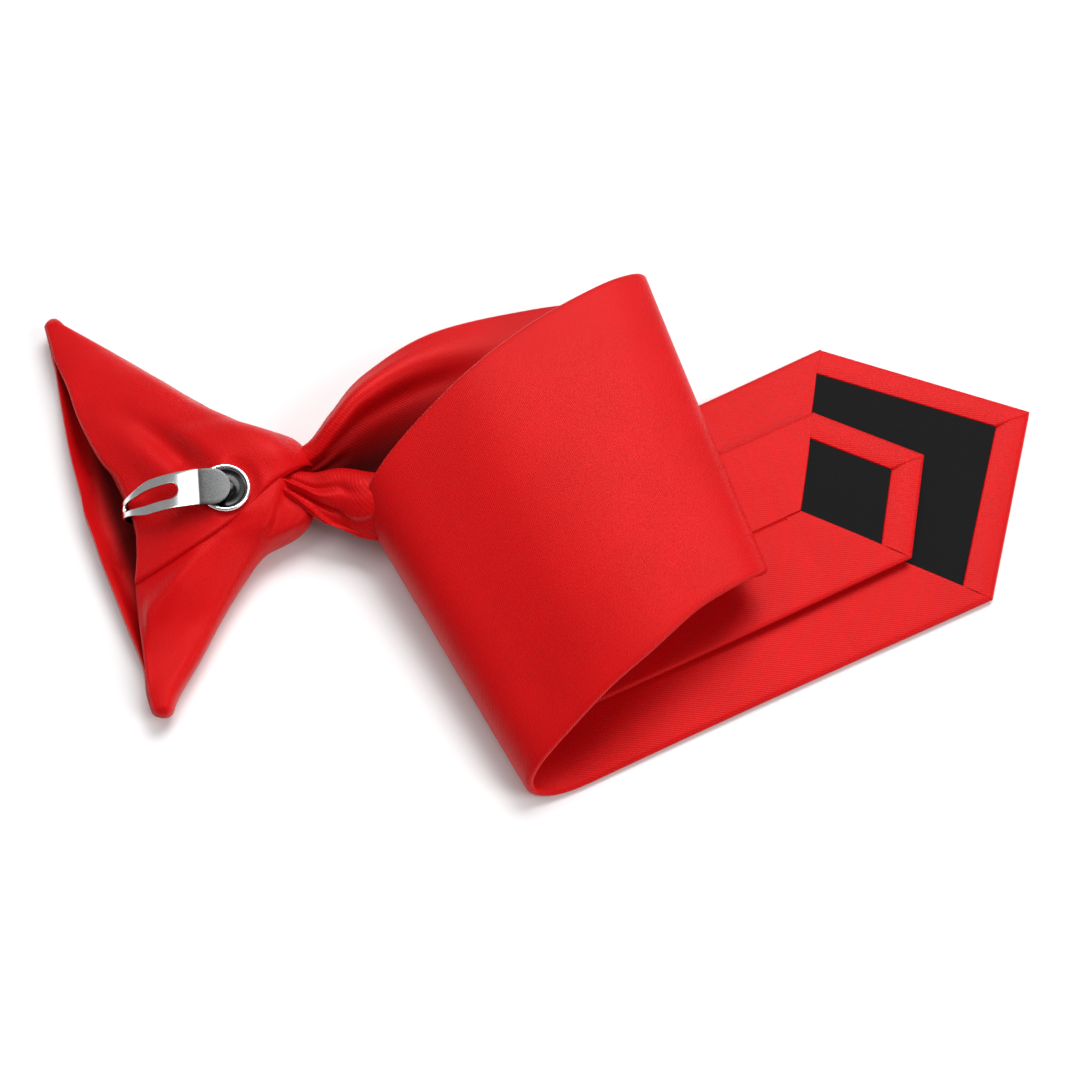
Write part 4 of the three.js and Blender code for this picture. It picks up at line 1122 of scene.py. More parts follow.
def make_wide_blade():
    """The wide blade's folded cloth with its pointed end."""
    blade = bpy.context.scene.necktie_blade
    lay = tie_lay()
    cut_run = lay["wide_window"][2][0] - BODY_SHORT_OF_WINDOW["wide"]
    lines = cut_lines(lay["lines"], lay["ends"], cut_run)
    count = len(lines["tail"])
    shape = {"is_tail": False, "thick": blade.thickness, "offset": 0.0, "hollow": 1.0, "gather": blade.gather,
             "span": 0.03, "along": np.arange(count) / lay["under"], "shift": np.zeros(count)}

    def relief(along, columns, distance, middle):
        seam = seam_relief(blade.flap_step, distance - SEAM_ACROSS * lay["half"])
        soft = cloth_waves(middle)
        near_knot = crease_relief(BLADE_CREASES, along, columns)
        return seam * smooth_step((along - 0.6) * 4) + soft + near_knot

    body = blade_grid(lines, blade_columns(BLADE_COLUMNS["wide"], SEAM_ACROSS), shape, relief)
    end_shape = {"thick": blade.thickness, "z": 0.0, "depth": blade.window_depth, "puff": HEM_PUFF["wide"],
                 "ends": lay["ends"]}
    end = pointed_end(end_shape, lay["wide_window"], lay["half"], cut_reach(lines, 1, lay["ends"]), 0.0,
                      WIDE_TIP, blade.flap_step)
    piece = make_piece("wide_blade_cloth", [body, end], materials()["satin"], place=lay["shift"])
    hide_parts("wide_blade")


def make_tail_blade():
    """The narrow blade's folded cloth with its pointed end."""
    blade = bpy.context.scene.necktie_blade
    lay = tie_lay()
    cut_run = lay["tail_window"][2][0] - BODY_SHORT_OF_WINDOW["tail"]
    lines = cut_lines(lay["lines"], lay["ends"], cut_run)
    count = len(lines["tail"])
    width = np.linalg.norm(lines["upper"] - lines["lower"], axis=1)
    settle = smooth_step((np.arange(count) - (count - SETTLE_LINES["last"])) / SETTLE_LINES["over"])
    lines["tail"] = lines["tail"] * (1 - settle) + TAIL_WIDTH / width * settle
    shape = {"is_tail": True, "thick": blade.tail_thickness, "offset": lay["offset"], "hollow": TAIL_HOLLOW,
             "gather": blade.gather, "span": 0.06, "along": np.arange(count) / lay["under"],
             "shift": lines["slide"]}

    def relief(along, columns, distance, middle):
        seam = seam_relief(blade.flap_step, distance - SEAM_ACROSS * TAIL_WIDTH / 2)
        soft = cloth_waves(middle)
        return seam + soft + crease_relief(TAIL_CREASES, along, columns)

    body = blade_grid(lines, blade_columns(BLADE_COLUMNS["tail"], SEAM_ACROSS), shape, relief)
    bottom = lay["offset"] + (blade.thickness - blade.tail_thickness) / 2
    end_shape = {"thick": blade.tail_thickness, "z": bottom, "depth": blade.window_depth,
                 "puff": HEM_PUFF["tail"], "ends": lay["ends"]}
    cut = cut_reach(lines, lines["tail"][-1], lay["ends"])
    end = pointed_end(end_shape, lay["tail_window"], TAIL_WIDTH / 2, cut, lay["tail_corner"], TAIL_TIP,
                      blade.flap_step)
    piece = make_piece("tail_blade_cloth", [body, end], materials()["satin"], place=lay["shift"])
    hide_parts("tail_blade")


def make_tippings():
    """The two black tippings, each a thin sheet in its blade's window."""
    blade = bpy.context.scene.necktie_blade
    lay = tie_lay()
    tail_top = lay["offset"] + blade.thickness / 2 + blade.tail_thickness / 2
    for name, node, window, back in (
        ("wide_tipping_cloth", "wide_tipping", lay["wide_window"], blade.thickness),
        ("tail_tipping_cloth", "tail_tipping", lay["tail_window"], tail_top),
    ):
        floor = back - blade.window_depth
        grid = kite_plate(window, floor + TIPPING_LIFT["under"], floor + TIPPING_LIFT["over"])
        piece = make_piece(name, [to_end(grid, lay["ends"])], materials()["twill"], sharp=60.0,
                           place=lay["shift"])
        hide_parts(node)
        front, side, behind = window
        length, width = front[0] - behind[0], 2 * side[1]
        width * length / 2


def knot_row(position):
    """Every column of the knot's table at positions counted in rows, in metres."""
    return {key: column(KNOT_ROWS, key, position) * KNOT_SIZES.get(key, KNOT_HEIGHT) for key in KNOT_COLUMNS}


def knot_top(row, share):
    """Height of the knot's outside at a share from its mouth to its root: a quarter sine up to the crown, and
    a rounded fall from there."""
    climb = row["lip"] + (row["crown"] - row["lip"]) * np.sin(np.pi / 2 * np.clip(share / CROWN_PLACE, 0, 1))
    fall = np.clip((share - CROWN_PLACE) / (1 - CROWN_PLACE), 0, 1)
    drop = row["nose"] + (row["crown"] - row["nose"]) * np.sqrt(1 - fall**3)
    return np.where(share < CROWN_PLACE, climb, drop)


def knot_bottom(row, share):
    """Height of the knot's underside in the same way, curled up at its front lip."""
    curl = row["keel"] + LIP_CURL * (1 - np.clip(share / CROWN_PLACE, 0, 1)) ** 2
    fall = np.clip((share - CROWN_PLACE) / (1 - CROWN_PLACE), 0, 1)
    rise = row["nose"] - (row["nose"] - row["keel"]) * np.sqrt(1 - fall**4)
    return np.where(share < CROWN_PLACE, curl, rise)


def beside_line(reach, span, line):
    """For each place, its distance from a broken line of shares, which side it lies on, and the line's own
    value at the nearest point. The nearest of the line's straight stretches counts."""
    scale = np.array([KNOT_REACH, KNOT_SPAN / 2])
    nearest = np.full(reach.shape, np.inf)
    side, value = np.zeros(reach.shape), np.zeros(reach.shape)
    for start, stop in zip(line, line[1:]):
        begin, way = np.array(start[:2]) * scale, (np.array(stop[:2]) - start[:2]) * scale
        share = np.clip(((reach - begin[0]) * way[0] + (span - begin[1]) * way[1]) / (way @ way), 0, 1)
        over, up = reach - begin[0] - way[0] * share, span - begin[1] - way[1] * share
        far = np.hypot(over, up)
        closer = far < nearest
        nearest = np.where(closer, far, nearest)
        side = np.where(closer, np.sign(way[0] * up - way[1] * over), side)
        rises = (start[2:] or (0,))[0], (stop[2:] or (0,))[0]
        value = np.where(closer, rises[0] + (rises[1] - rises[0]) * share, value)
    return nearest, side, value


def knot_folds(reach, span):
    """Sum of the knot's soft folds: each is a bell curve of the distance from its line."""
    total = np.zeros_like(reach)
    for fold in KNOT_FOLDS:
        far, _, rise = beside_line(reach, span, fold["line"])
        total = total + rise * np.exp(-((far / fold["width"]) ** 2))
    return total


def neck_drop(reach, span):
    """How far the lower flap's back gives way past the crisp edge at the neck, and how far at the mouth: an
    even step of the distance past each line."""
    far, side, _ = beside_line(reach, span, NECK_EDGE["line"])
    below = smooth_step((NECK_EDGE["starts"] * KNOT_SPAN / 2 - span) / NECK_EDGE["start_width"])
    edge = NECK_EDGE["drop"] * smooth_step(far * side / NECK_EDGE["width"]) * below
    edge = edge * smooth_step(1 - (far - NECK_EDGE["fades_from"]) / NECK_EDGE["fade_width"])
    corner, lower = NECK_MOUTH["corner"], NECK_MOUTH["side"]
    upper = (lower[0], look_up(SEAM, "reach", "at", lower[0]))
    from_low, over_low, _ = beside_line(reach, span, [corner, lower])
    from_high, over_high, _ = beside_line(reach, span, [corner, upper])
    inside = np.minimum(from_low * over_low, NECK_MOUTH["under_seam"] + from_high * -over_high)
    mouth = NECK_MOUTH["drop"] * smooth_step(inside / NECK_MOUTH["width"])
    return edge, mouth


def knot_matrix():
    """Frame of the knot: reach points from its mouth to the neck, span to the upper wing."""
    angle = np.radians(KNOT_ANGLE)
    reach = np.array([np.cos(angle), np.sin(angle), 0])
    span = np.array([-np.sin(angle), np.cos(angle), 0])
    matrix = np.eye(4)
    matrix[:3, 0], matrix[:3, 1] = reach, span
    matrix[:3, 3] = reach * (ROOT_PAST_NECK - KNOT_REACH)
    return matrix


def transformed(points, matrix):
    """Points moved by a 4 by 4 matrix."""
    return points @ matrix[:3, :3].T + matrix[:3, 3]


def knot_ripple(reach, span):
    """Small uneven waves of the knot's cloth, in metres."""
    waves = soft_waves(np.stack([reach, span], -1), KNOT_RIPPLE["size"], KNOT_RIPPLE["seed"])
    return waves * KNOT_RIPPLE["height"]


def fold_fade(row, share):
    """Folds fade out at the lip, where the cloth is turned, and at the root."""
    return smooth_step(share / 0.12) * smooth_step((1 - share) / 0.15) * smooth_step(
        (row["root"] - row["back"]) / (0.25 * KNOT_REACH))


def disc_seat(points):
    """How far the cloth is pressed down round the disc: full under it, and gone a few millimetres past it."""
    far = np.hypot(points[..., 0] - RIVET_PLACE["reach"], points[..., 1] - RIVET_PLACE["span"])
    radius = bpy.context.scene.necktie_clip.disc / 2
    return smooth_step(1 - (far - radius) / SEAT["past_disc"])


def press_seat(points):
    """The points lowered onto the tilted plane of the disc's seat where the disc presses them."""
    share = disc_seat(points)
    plane = seat_height(points[..., 0], points[..., 1]) - SEAT["depth"]
    height = points[..., 2]
    pressed = points.copy()
    pressed[..., 2] = height + share * np.minimum(plane - height, SEAT["lift"])
    return pressed


def seat_height(reach, span):
    """Height of the disc's tilted seat plane at a place in the knot's frame."""
    origin, across, along = seat_plane()
    normal = np.cross(along, across)
    normal = normal / normal[2]
    return origin[2] - (reach - origin[0]) * normal[0] - (span - origin[1]) * normal[1]


def clip_matrix(pitched):
    """Frame of the clip in the knot's frame, with its origin where the rivet meets the knot's back."""
    knot = bpy.context.scene.necktie_knot
    place = (RIVET_PLACE["reach"], RIVET_PLACE["span"])
    turned = (Matrix.Translation((*place, knot_back(*place, knot.lap)))
              @ Matrix.Rotation(np.radians(CLIP_YAW), 4, "Z")
              @ Matrix.Rotation(np.radians(CLIP_ROLL), 4, "X"))
    if pitched:
        turned = turned @ Matrix.Rotation(np.radians(CLIP_PITCH), 4, "Y")
    return np.array(turned)


def seat_plane():
    """A point of the disc's seat and its two ways, across and along the clip."""
    matrix = clip_matrix(True)
    return matrix[:3, 3], matrix[:3, 1], matrix[:3, 0]


def knot_row_at(span):
    """The knot section at a place along the span."""
    places = np.array([row["at"] for row in KNOT_ROWS]) * KNOT_SPAN / 2
    position = np.interp(-span, -places, np.arange(len(KNOT_ROWS)))
    return knot_row(position)


def knot_back(reach, span, lap):
    """Height of the knot's back over its upper flap at a place in the knot's frame."""
    row = knot_row_at(span)
    return float(knot_top(row, (reach - row["back"]) / (row["root"] - row["back"])) + lap)


def knot_shell(wall):
    """Closed grid of the knot's cloth: outside from the back lip over the root to the front lip, and back
    along the inside a wall further in. The two ends are rounded off into the tips of the wings."""
    position = np.linspace(TIP_TRIM["upper"], len(KNOT_ROWS) - 1 - TIP_TRIM["lower"], KNOT_LINES)
    row = {key: value[:, None] for key, value in knot_row(position).items()}
    share = np.sin(np.pi / 2 * np.linspace(0, 1, KNOT_STEPS))[None]
    high, low = knot_top(row, share), knot_bottom(row, share)
    half = np.maximum((high - low) / 2, KNOT_WALL["least"])
    centre = (high + low) / 2
    room = smooth_step((half - KNOT_WALL["opens_from"]) / KNOT_WALL["opens_over"])
    out_along = np.abs(row["at"]) / (KNOT_SPAN / 2)
    closed = smooth_step((out_along - MOUTH_CLOSES["from"]) / MOUTH_CLOSES["over"])
    thinned = KNOT_WALL["narrow"] + (1 - KNOT_WALL["narrow"]) * room
    inset = np.minimum(wall, half * KNOT_WALL["greatest"]) * thinned * (1 - closed)
    inset = inset + half * KNOT_WALL["closed"] * closed
    inner_root = row["root"] - np.minimum(inset, (row["root"] - row["back"]) * 0.5)
    bulge = half[:, :1] * closed
    top_reach = row["back"] + (row["root"] - row["back"]) * share
    low_reach = row["front"] + (row["root"] - row["front"]) * share
    tuck = 0.15 * half * closed * (1 - share) ** 6
    in_top = row["back"] + (inner_root - row["back"]) * share - tuck
    in_low = row["front"] + (inner_root - row["front"]) * share - tuck
    at = np.broadcast_to(row["at"], top_reach.shape)
    fade = fold_fade(row, share)
    folds = knot_folds(top_reach, at) * fade
    edge, mouth = neck_drop(top_reach, at)
    folds = folds - edge * fade
    ripple = knot_ripple(top_reach, at) * fade
    outside = np.stack([top_reach, at, centre + half + folds + ripple], -1)
    outside = press_seat(outside)
    outside[..., 2] = np.maximum(outside[..., 2] - mouth, np.minimum(outside[..., 2], centre + 0.0004))
    under = np.stack([low_reach, at, centre - half], -1)
    inside_top = np.stack([in_top, at, outside[..., 2] - inset], -1)
    from_lip = low_reach - row["front"]
    puff = FRONT_PUFF["height"] * np.exp(-((from_lip / FRONT_PUFF["width"]) ** 2)) * room * (1 - closed)
    inside_low = np.stack([in_low, at, centre - half + inset + puff], -1)
    out = (LIP_ROUND + 0.1 * bulge)[..., None] * [1, 0, 0]
    lip_back = (outside[:, :1] + inside_top[:, :1]) / 2 - out
    lip_front = (under[:, :1] + inside_low[:, :1]) / 2 - out
    ring = np.concatenate([outside, under[:, ::-1], lip_front, inside_low, inside_top[:, ::-1], lip_back], 1)
    steps = np.linalg.norm(np.diff(ring, axis=1), axis=2)
    v = np.concatenate([np.zeros((KNOT_LINES, 1)), np.cumsum(steps, 1)], 1)
    uv = np.stack([at[:, :1] + 0 * v, v], -1)
    # Painted shade inside the knot's mouth: the inner underside darkens from a little way behind the front
    # lip, and the inner top throughout, except where the tips close
    lit = np.zeros_like(top_reach)
    painted_shade_low = smooth_step((from_lip - MOUTH_PAINTED_SHADE["from"]) / MOUTH_PAINTED_SHADE["over"]) * (1 - closed)
    painted_shade_low = painted_shade_low * MOUTH_PAINTED_SHADE["full"]
    painted_shade_top = np.broadcast_to(MOUTH_PAINTED_SHADE["full"] * (1 - closed), lit.shape)
    shade = np.concatenate([lit, lit, lit[:, :1], painted_shade_low, painted_shade_top, lit[:, :1]], 1)
    return rounded_ends({"points": ring, "uv": uv, "shade": shade})


def rounded_ends(grid):
    """A grid with its first and last rows drawn in to a small cap, by a quarter of an ellipse times an even
    taper, so that the wing's sides run on into the round. The ends point along the span."""
    points, uv = grid["points"], grid["uv"]
    before, after = [], []
    for angle in np.linspace(0, np.pi / 2, TIP_STEPS + 1)[1:]:
        for rows, source, other, tip in ((before, 0, 1, "upper"), (after, -1, -2, "lower")):
            middle = points[source].mean(0)
            way = (points[source] - points[other]).mean(0)
            way = unit(way * [0.35, 1, 1])
            scale = max(np.cos(angle) * (1 - TIP_TAPER[tip] * np.sin(angle)), TIP_SMALLEST)
            rows.append(middle + (points[source] - middle) * scale + way * TIP_ROUND[tip] * np.sin(angle))
    stacked = np.concatenate([np.array(before[::-1]), points, np.array(after)])
    uvs, painted_shades = (np.concatenate([values[:1].repeat(TIP_STEPS, 0), values, values[-1:].repeat(TIP_STEPS, 0)])
                   for values in (uv, grid["shade"]))
    return {"points": stacked, "uv": uvs, "shade": painted_shades, "capped": True}


def quarter_round(share):
    """Height of a quarter circle over its run, from 0 at 0 to 1 at 1 and past it."""
    return np.sqrt(np.clip(1 - (1 - np.clip(share, 0, 1)) ** 2, 0, 1))


def seam_at(share):
    """Where along the span the flap's seam crosses each share line, found by repeating the look-up."""
    at = np.full_like(share, -0.2)
    for _ in range(SEAM_PASSES):
        row = knot_row_at(at * KNOT_SPAN / 2)
        reach = (row["back"] + (row["root"] - row["back"]) * share) / KNOT_REACH
        at = at * 0.5 + look_up(SEAM, "reach", "at", reach) * 0.5
    return at


def upper_flap(lap):
    """Closed grid of the upper flap that laps the lower one: the knot's outside raised by the lap, with
    rounded edges along the seam and the lip, and an underside sunk in the cloth below."""
    share = np.concatenate([[0, 0.004, 0.010, 0.018, 0.03], np.linspace(0.045, 1, FLAP_STEPS)])
    start = seam_at(share)
    length = (FLAP_END - start) * KNOT_SPAN / 2
    near = np.array([0, 0.05, 0.15, 0.3, 0.5, 0.75, 1.05]) * MM
    far = np.linspace(0, 1, FLAP_LINES)[1:]
    steps = np.concatenate([np.broadcast_to(near, (len(share), len(near))),
                            near[-1] + (length[:, None] - near[-1]) * far[None]], 1)
    span = start[:, None] * KNOT_SPAN / 2 + steps
    row = knot_row_at(span)
    wide = np.broadcast_to(share[:, None], span.shape)
    reach = row["back"] + (row["root"] - row["back"]) * wide
    base = knot_top(row, wide)
    fade = fold_fade(row, wide)
    base = base + knot_folds(reach, span) * fade
    base = base + knot_ripple(reach, span) * fade
    seam_round = quarter_round(steps / FLAP_EDGE)
    lip_round = quarter_round((reach - row["back"]) / FLAP_EDGE)
    long = smooth_step((row["root"] - row["back"]) / (FLAP_LAP["full_at"] * KNOT_REACH))
    thin = FLAP_LAP["short"] + (1 - FLAP_LAP["short"]) * long
    root = 1 - FLAP_LAP["root_loss"] * smooth_step((wide - FLAP_LAP["root_from"]) / FLAP_LAP["root_over"])
    lip = FLAP_LAP["lip"] + (1 - FLAP_LAP["lip"]) * lip_round
    into_tip = smooth_step((span / (KNOT_SPAN / 2) - FLAP_THINS["from"]) / FLAP_THINS["over"])
    sunk = smooth_step((span / (KNOT_SPAN / 2) - FLAP_DIVES["from"]) / FLAP_DIVES["over"])
    raised = base + lap * seam_round * lip * thin * root * (1 - into_tip)
    raised = raised - FLAP_DIVES["depth"] * sunk
    back = reach - LIP_ROUND * (1 - smooth_step(wide / 0.05)) * (1 - into_tip)
    top = press_seat(np.stack([back, span, raised], -1))
    low = np.stack([reach + 0.0002, span, np.minimum(top[..., 2], base) - FLAP_SUNK], -1)
    uv = np.stack([span, reach], -1)
    ring = np.concatenate([top, low[:, ::-1]], 1)
    return {"points": ring, "uv": np.concatenate([uv, uv[:, ::-1]], 1), "capped": True}


def make_knot():
    """The knot's cloth shell and the upper flap lapped over it."""
    knot = bpy.context.scene.necktie_knot
    matrix = knot_matrix()
    grids = []
    for grid in (knot_shell(knot.wall), upper_flap(knot.lap)):
        grids.append({**grid, "points": transformed(grid["points"], matrix)})
    piece = make_piece("knot_cloth", grids, materials()["satin"], sharp=65.0,
                       place=tie_lay()["shift"])
    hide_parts("knot_wrap")


def clip_place():
    """The matrix of the clip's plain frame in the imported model, and of its pitched one."""
    shift = np.eye(4)
    shift[:3, 3] = tie_lay()["shift"]
    return shift @ knot_matrix() @ clip_matrix(False), shift @ knot_matrix() @ clip_matrix(True)


def leg_depth():
    """How far the middle of the strap's inner leg lies under the knot's back at the rivet."""
    lap, steel = bpy.context.scene.necktie_knot.lap, bpy.context.scene.necktie_clip.steel
    return lap + HOOKED_CLOTH + LAYER_GAP + steel / 2 + LEG_DROP


def strap_path():
    """Points along the strap's middle in its side view: over the disc, along the knot's back, round the lip
    and back inside to the rivet."""
    knot = bpy.context.scene.necktie_knot
    clip = bpy.context.scene.necktie_clip
    lip = knot_row_at(RIVET_PLACE["span"])
    height = knot_back(RIVET_PLACE["reach"], RIVET_PLACE["span"], knot.lap)
    lip_place = float(knot_row_at(RIVET_PLACE["span"] + clip.width / 4)["back"])
    lip_place = lip_place - RIVET_PLACE["reach"] - LAYER_GAP
    lip_top = float(lip["lip"]) + knot.lap - height
    lip_floor = float(lip["lip"]) - HOOKED_CLOTH - height
    arm_level = LAYER_GAP + DISC_RIM + LAYER_GAP + clip.steel / 2
    leg_level = -leg_depth()
    hook = LAYER_GAP + HOOK_EASE + clip.steel / 2
    pitch = np.radians(CLIP_PITCH)

    def on_disc(run, level):
        return run * np.cos(pitch) + level * np.sin(pitch), level * np.cos(pitch) - run * np.sin(pitch)

    leg_start = lip_floor - hook
    leg_end = RIVET_DIAMETER / 2 + HEAD_OVERHANG + LEG_PAST_HEAD
    nose = NOSE_PAST_RIVET - clip.width / 2
    points = [on_disc(nose, arm_level), on_disc(-clip.disc / 2, arm_level)]
    points += [(lip_place * out, arm_level + (lip_top - arm_level) * fall) for out, fall in ARM_BENDS]
    points += [(lip_place, lip_top + hook), (lip_place - hook, (lip_top + lip_floor) / 2)]
    points += [(lip_place * out, leg_start + (leg_level - leg_start) * fall) for out, fall in LEG_BENDS]
    points += [on_disc(-leg_end, leg_level), on_disc(leg_end, leg_level)]
    return np.array(points), lip_place


def smooth_path(points, count):
    """Centripetal Catmull-Rom curve through points, spaced evenly, with its unit tangents and the distance
    along it: between each two points, lines through four points are blended three times over."""
    ends = np.concatenate([[2 * points[0] - points[1]], points, [2 * points[-1] - points[-2]]])
    knots = np.concatenate([[0], np.cumsum(np.sqrt(np.linalg.norm(np.diff(ends, axis=0), axis=1)))])
    dense = []
    for i in range(1, len(ends) - 2):
        t = np.linspace(knots[i], knots[i + 1], STRETCH_STEPS, endpoint=False)[:, None]
        p, k = ends[i - 1:i + 3], knots[i - 1:i + 3]
        first = [(k[j + 1] - t) / (k[j + 1] - k[j]) * p[j] + (t - k[j]) / (k[j + 1] - k[j]) * p[j + 1]
                 for j in range(3)]
        second = [(k[j + 2] - t) / (k[j + 2] - k[j]) * first[j]
                  + (t - k[j]) / (k[j + 2] - k[j]) * first[j + 1] for j in range(2)]
        dense.append((k[2] - t) / (k[2] - k[1]) * second[0] + (t - k[1]) / (k[2] - k[1]) * second[1])
    dense = np.concatenate(dense + [points[-1:]])
    run = np.concatenate([[0], np.cumsum(np.linalg.norm(np.diff(dense, axis=0), axis=1))])
    even = np.linspace(0, run[-1], count)
    path = np.stack([np.interp(even, run, dense[:, k]) for k in range(2)], 1)
    return path, unit(np.gradient(path, axis=0)), even


def make_strap():
    """The spring steel strap: a flat strip with a round nose and a long slot, bent along its path.

    Half the strip is a grid from the slot's edge, or the middle line, out to its side. Both halves share the
    middle line, and the strip is then given its thickness.
    """
    clip = bpy.context.scene.necktie_clip
    points, lip_place = strap_path()
    path, tangent, even = smooth_path(points, STRAP_LINES)
    nose = clip.width / 2
    slot = clip.slot_width / 2
    run = np.concatenate([
        -nose * np.cos(np.linspace(0, np.pi / 2, 20)),
        np.linspace(0, SLOT_FROM, 34)[1:],
        SLOT_FROM + slot * (1 - np.cos(np.linspace(0, np.pi / 2, 12)))[1:],
        np.linspace(SLOT_FROM + slot, SLOT_TO - slot, 70)[1:],
        SLOT_TO - slot + slot * np.sin(np.linspace(0, np.pi / 2, 12))[1:],
        np.linspace(SLOT_TO, even[-1], 40)[1:],
    ])
    before = path[0] + (run[:, None] < 0) * tangent[0] * run[:, None]
    bent = np.stack([np.interp(run, even, path[:, k]) for k in range(2)], 1)
    middle = np.where(run[:, None] < 0, before, bent)
    towards_lip = middle[:, 0] / lip_place
    taper = 1 - CLIP_TAPER * np.clip(towards_lip, 0, 1)
    taper = taper - HOOK_NARROWING * smooth_step((towards_lip - NARROWS["from"]) / NARROWS["over"])
    outer = np.where(run < 0, np.sqrt(np.clip(nose**2 - run**2, 1e-12, None)), nose) * taper
    into = np.clip(run - SLOT_FROM, 0, None)
    out_of = np.clip(SLOT_TO - run, 0, None)
    nearest = np.minimum(np.minimum(into, out_of), slot)
    inner = np.sqrt(np.clip(slot**2 - (slot - nearest) ** 2, 0, None)) * taper
    share = np.linspace(0, 1, STRAP_HALF_LINES)[None]
    v = inner[:, None] + (outer - inner)[:, None] * share
    verts, uvs, faces = [], [], []
    for k, side in enumerate((1, -1)):
        place = np.stack([np.broadcast_to(middle[:, :1], v.shape), side * v,
                          np.broadcast_to(middle[:, 1:], v.shape)], -1)
        verts.append(place.reshape(-1, 3))
        uvs.append(np.stack([np.broadcast_to(run[:, None], v.shape), side * v], -1).reshape(-1, 2))
        corners = grid_faces(*v.shape, False, False, k * v.size)
        faces += (corners if side == 1 else corners[:, ::-1]).tolist()
    verts = transformed(np.concatenate(verts), clip_place()[0])
    piece = merged_object("clip_strap", verts, np.concatenate(uvs), faces, materials()["strap"])
    thick = piece.modifiers.new("thickness", "SOLIDIFY")
    thick.thickness = clip.steel
    thick.offset = 0
    thick.use_even_offset = True
    worn = piece.modifiers.new("worn_edge", "BEVEL")
    worn.width = WORN_EDGE
    worn.segments = 3
    worn.limit_method = "ANGLE"
    worn.angle_limit = np.radians(50)
    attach(piece, BODY)
    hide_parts("clip_spring")


def make_disc():
    """The dished disc with its rivet: a profile of radius and height turned about the rivet's axis."""
    clip = bpy.context.scene.necktie_clip
    outer, rivet = clip.disc / 2, RIVET_DIAMETER / 2
    head_top = -(leg_depth() + clip.steel / 2 + LAYER_GAP)
    head = rivet + HEAD_OVERHANG
    seat = LAYER_GAP
    roll = np.linspace(-np.pi * 0.5, np.pi, RIM_STEPS)
    rim_middle, rim = outer - DISC_RIM / 2, DISC_RIM / 2
    profile = [(0, head_top - clip.steel), (head * HEAD_CHAMFER["radius"], head_top - clip.steel),
               (head, head_top - clip.steel * HEAD_CHAMFER["thickness"]), (head, head_top), (rivet, head_top),
               (rivet, seat), (outer * 0.55, seat), (outer * 0.8, seat)]
    profile += [(rim_middle + rim * np.cos(a), seat + rim + rim * np.sin(a)) for a in roll]
    profile += [(outer * share, seat + height) for share, height in DISC_DISH]
    profile = np.array(profile)
    angle = np.linspace(0, 2 * np.pi, DISC_SIDES, endpoint=False)
    points = np.stack([
        np.cos(angle)[:, None] * profile[None, :, 0],
        np.sin(angle)[:, None] * profile[None, :, 0],
        np.broadcast_to(profile[None, :, 1], (DISC_SIDES, len(profile))),
    ], -1)
    grid = {"points": transformed(points, clip_place()[1]), "uv": points[..., :2], "wrap": (True, False)}
    piece = make_piece("clip_disc_cap", [grid], materials()["disc"], sharp=40.0)
    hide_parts("clip_disc")


def make_light(name, place, aim, size, power):
    """A rectangular area light at a place, turned to face a point."""
    data = bpy.data.lights.new(name, "AREA")
    data.shape = "RECTANGLE"
    data.size, data.size_y = size
    data.energy = power
    light = bpy.data.objects.new(name, data)
    light.location = place
    light.rotation_euler = (Vector(aim) - Vector(place)).to_track_quat("-Z", "Y").to_euler()
    bpy.context.scene.collection.objects.link(light)


def make_stage():
    """Plain pale floor, soft studio light and the camera at the photograph's angle."""
    scene = bpy.context.scene
    stage = scene.necktie_stage
    half = FLOOR_HALF
    corners = [(-half, -half, 0), (half, -half, 0), (half, half, 0), (-half, half, 0)]
    mesh = bpy.data.meshes.new("floor")
    mesh.from_pydata(corners, [], [(0, 1, 2, 3)])
    shader = Shader("pale_floor")
    shader.set(Base_Color=rgba(stage.floor_colour), Roughness=0.9, Specular_IOR_Level=0.1)
    mesh.materials.append(shader.material)
    floor = bpy.data.objects.new("floor", mesh)
    scene.collection.objects.link(floor)
    shift = tie_lay()["shift"]
    aim = shift + np.array(PICTURE_MIDDLE)
    lift = np.radians(stage.elevation)
    data = bpy.data.cameras.new("camera")
    data.lens, data.sensor_width = stage.lens, 36.0
    data.clip_start = 0.01
    camera = bpy.data.objects.new("camera", data)
    camera.location = aim + stage.distance * np.array([0, -np.cos(lift), np.sin(lift)])
    camera.rotation_euler = (np.pi / 2 - lift, 0, 0)
    scene.collection.objects.link(camera)
    scene.camera = camera
    for light in LIGHTS:
        make_light(light["name"], light["place"], aim, light["size"], stage.key_power * light["share"])
    world = bpy.data.worlds.new("studio")
    world.use_nodes = True
    world.node_tree.nodes["Background"].inputs["Color"].default_value = (1, 1, 1, 1)
    world.node_tree.nodes["Background"].inputs["Strength"].default_value = stage.world_light
    scene.world = world
    scene.view_settings.view_transform = "Standard"


class NECKTIE_OT_wide_blade(bpy.types.Operator):
    """Adds the wide blade in its loop"""

    bl_idname = "necktie.wide_blade"
    bl_label = "Wide Blade"

    def execute(self, context):
        make_wide_blade()
        return {"FINISHED"}


class NECKTIE_OT_tail_blade(bpy.types.Operator):
    """Adds the narrow tail blade that lies on the wide one"""

    bl_idname = "necktie.tail_blade"
    bl_label = "Tail Blade"

    def execute(self, context):
        make_tail_blade()
        return {"FINISHED"}


class NECKTIE_OT_tippings(bpy.types.Operator):
    """Adds the black tippings in the windows of both blades"""

    bl_idname = "necktie.tippings"
    bl_label = "Tippings"

    def execute(self, context):
        make_tippings()
        return {"FINISHED"}


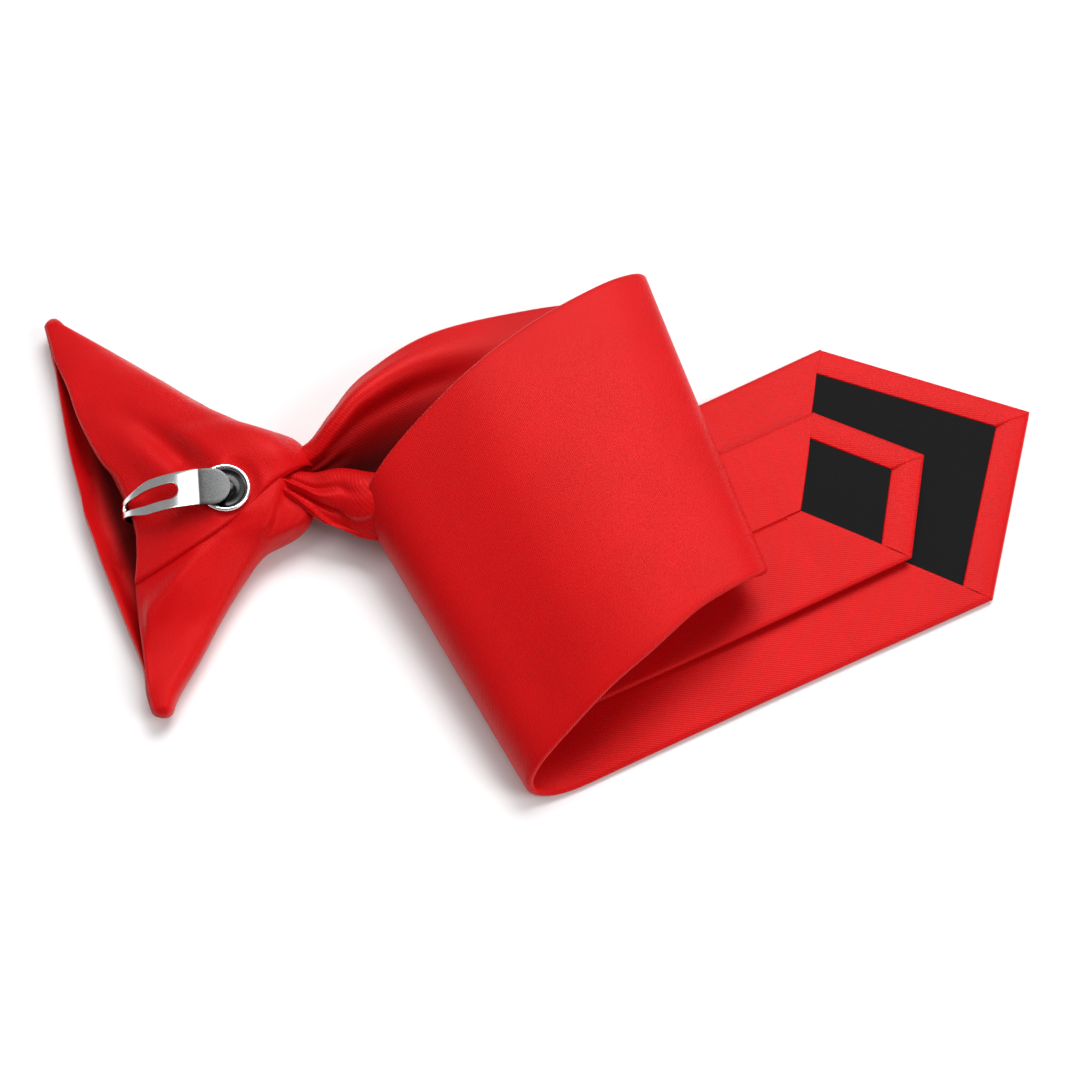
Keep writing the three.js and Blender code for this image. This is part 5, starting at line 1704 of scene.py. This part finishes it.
class NECKTIE_OT_knot(bpy.types.Operator):
    """Adds the pre-tied knot with its lapped flaps"""

    bl_idname = "necktie.knot"
    bl_label = "Knot"

    def execute(self, context):
        make_knot()
        return {"FINISHED"}


class NECKTIE_OT_clip(bpy.types.Operator):
    """Adds the collar clip: the slotted strap and the riveted disc"""

    bl_idname = "necktie.clip"
    bl_label = "Collar Clip"

    def execute(self, context):
        make_strap()
        make_disc()
        return {"FINISHED"}


class NECKTIE_OT_stage(bpy.types.Operator):
    """Adds the floor, the lights and the camera"""

    bl_idname = "necktie.stage"
    bl_label = "Stage"

    def execute(self, context):
        make_stage()
        return {"FINISHED"}


OPERATORS = (NECKTIE_OT_wide_blade, NECKTIE_OT_tail_blade, NECKTIE_OT_tippings, NECKTIE_OT_knot,
             NECKTIE_OT_clip, NECKTIE_OT_stage)
SETTINGS = {"necktie_blade": BladeSettings, "necktie_knot": KnotSettings, "necktie_clip": ClipSettings,
            "necktie_stage": StageSettings}


class NECKTIE_PT_panel(bpy.types.Panel):
    """Lists the tie's pieces and sizes in the sidebar"""

    bl_idname = "NECKTIE_PT_panel"
    bl_label = "Necktie"
    bl_space_type = "VIEW_3D"
    bl_region_type = "UI"
    bl_category = "Necktie"

    def draw(self, context):
        for name, group in SETTINGS.items():
            box = self.layout.box()
            for key in group.__annotations__:
                box.prop(getattr(context.scene, name), key)
        for operator in OPERATORS:
            self.layout.operator(operator.bl_idname)


def register():
    for group in (*SETTINGS.values(), *OPERATORS, NECKTIE_PT_panel):
        bpy.utils.register_class(group)
    for name, group in SETTINGS.items():
        setattr(bpy.types.Scene, name, bpy.props.PointerProperty(type=group))


def unregister():
    for name in SETTINGS:
        delattr(bpy.types.Scene, name)
    for group in reversed((*SETTINGS.values(), *OPERATORS, NECKTIE_PT_panel)):
        bpy.utils.unregister_class(group)


def main():
    register()
    bpy.ops.necktie.wide_blade()
    bpy.ops.necktie.tail_blade()
    bpy.ops.necktie.tippings()
    bpy.ops.necktie.knot()
    bpy.ops.necktie.clip()
    bpy.ops.necktie.stage()


if __name__ == "__main__":
    main()
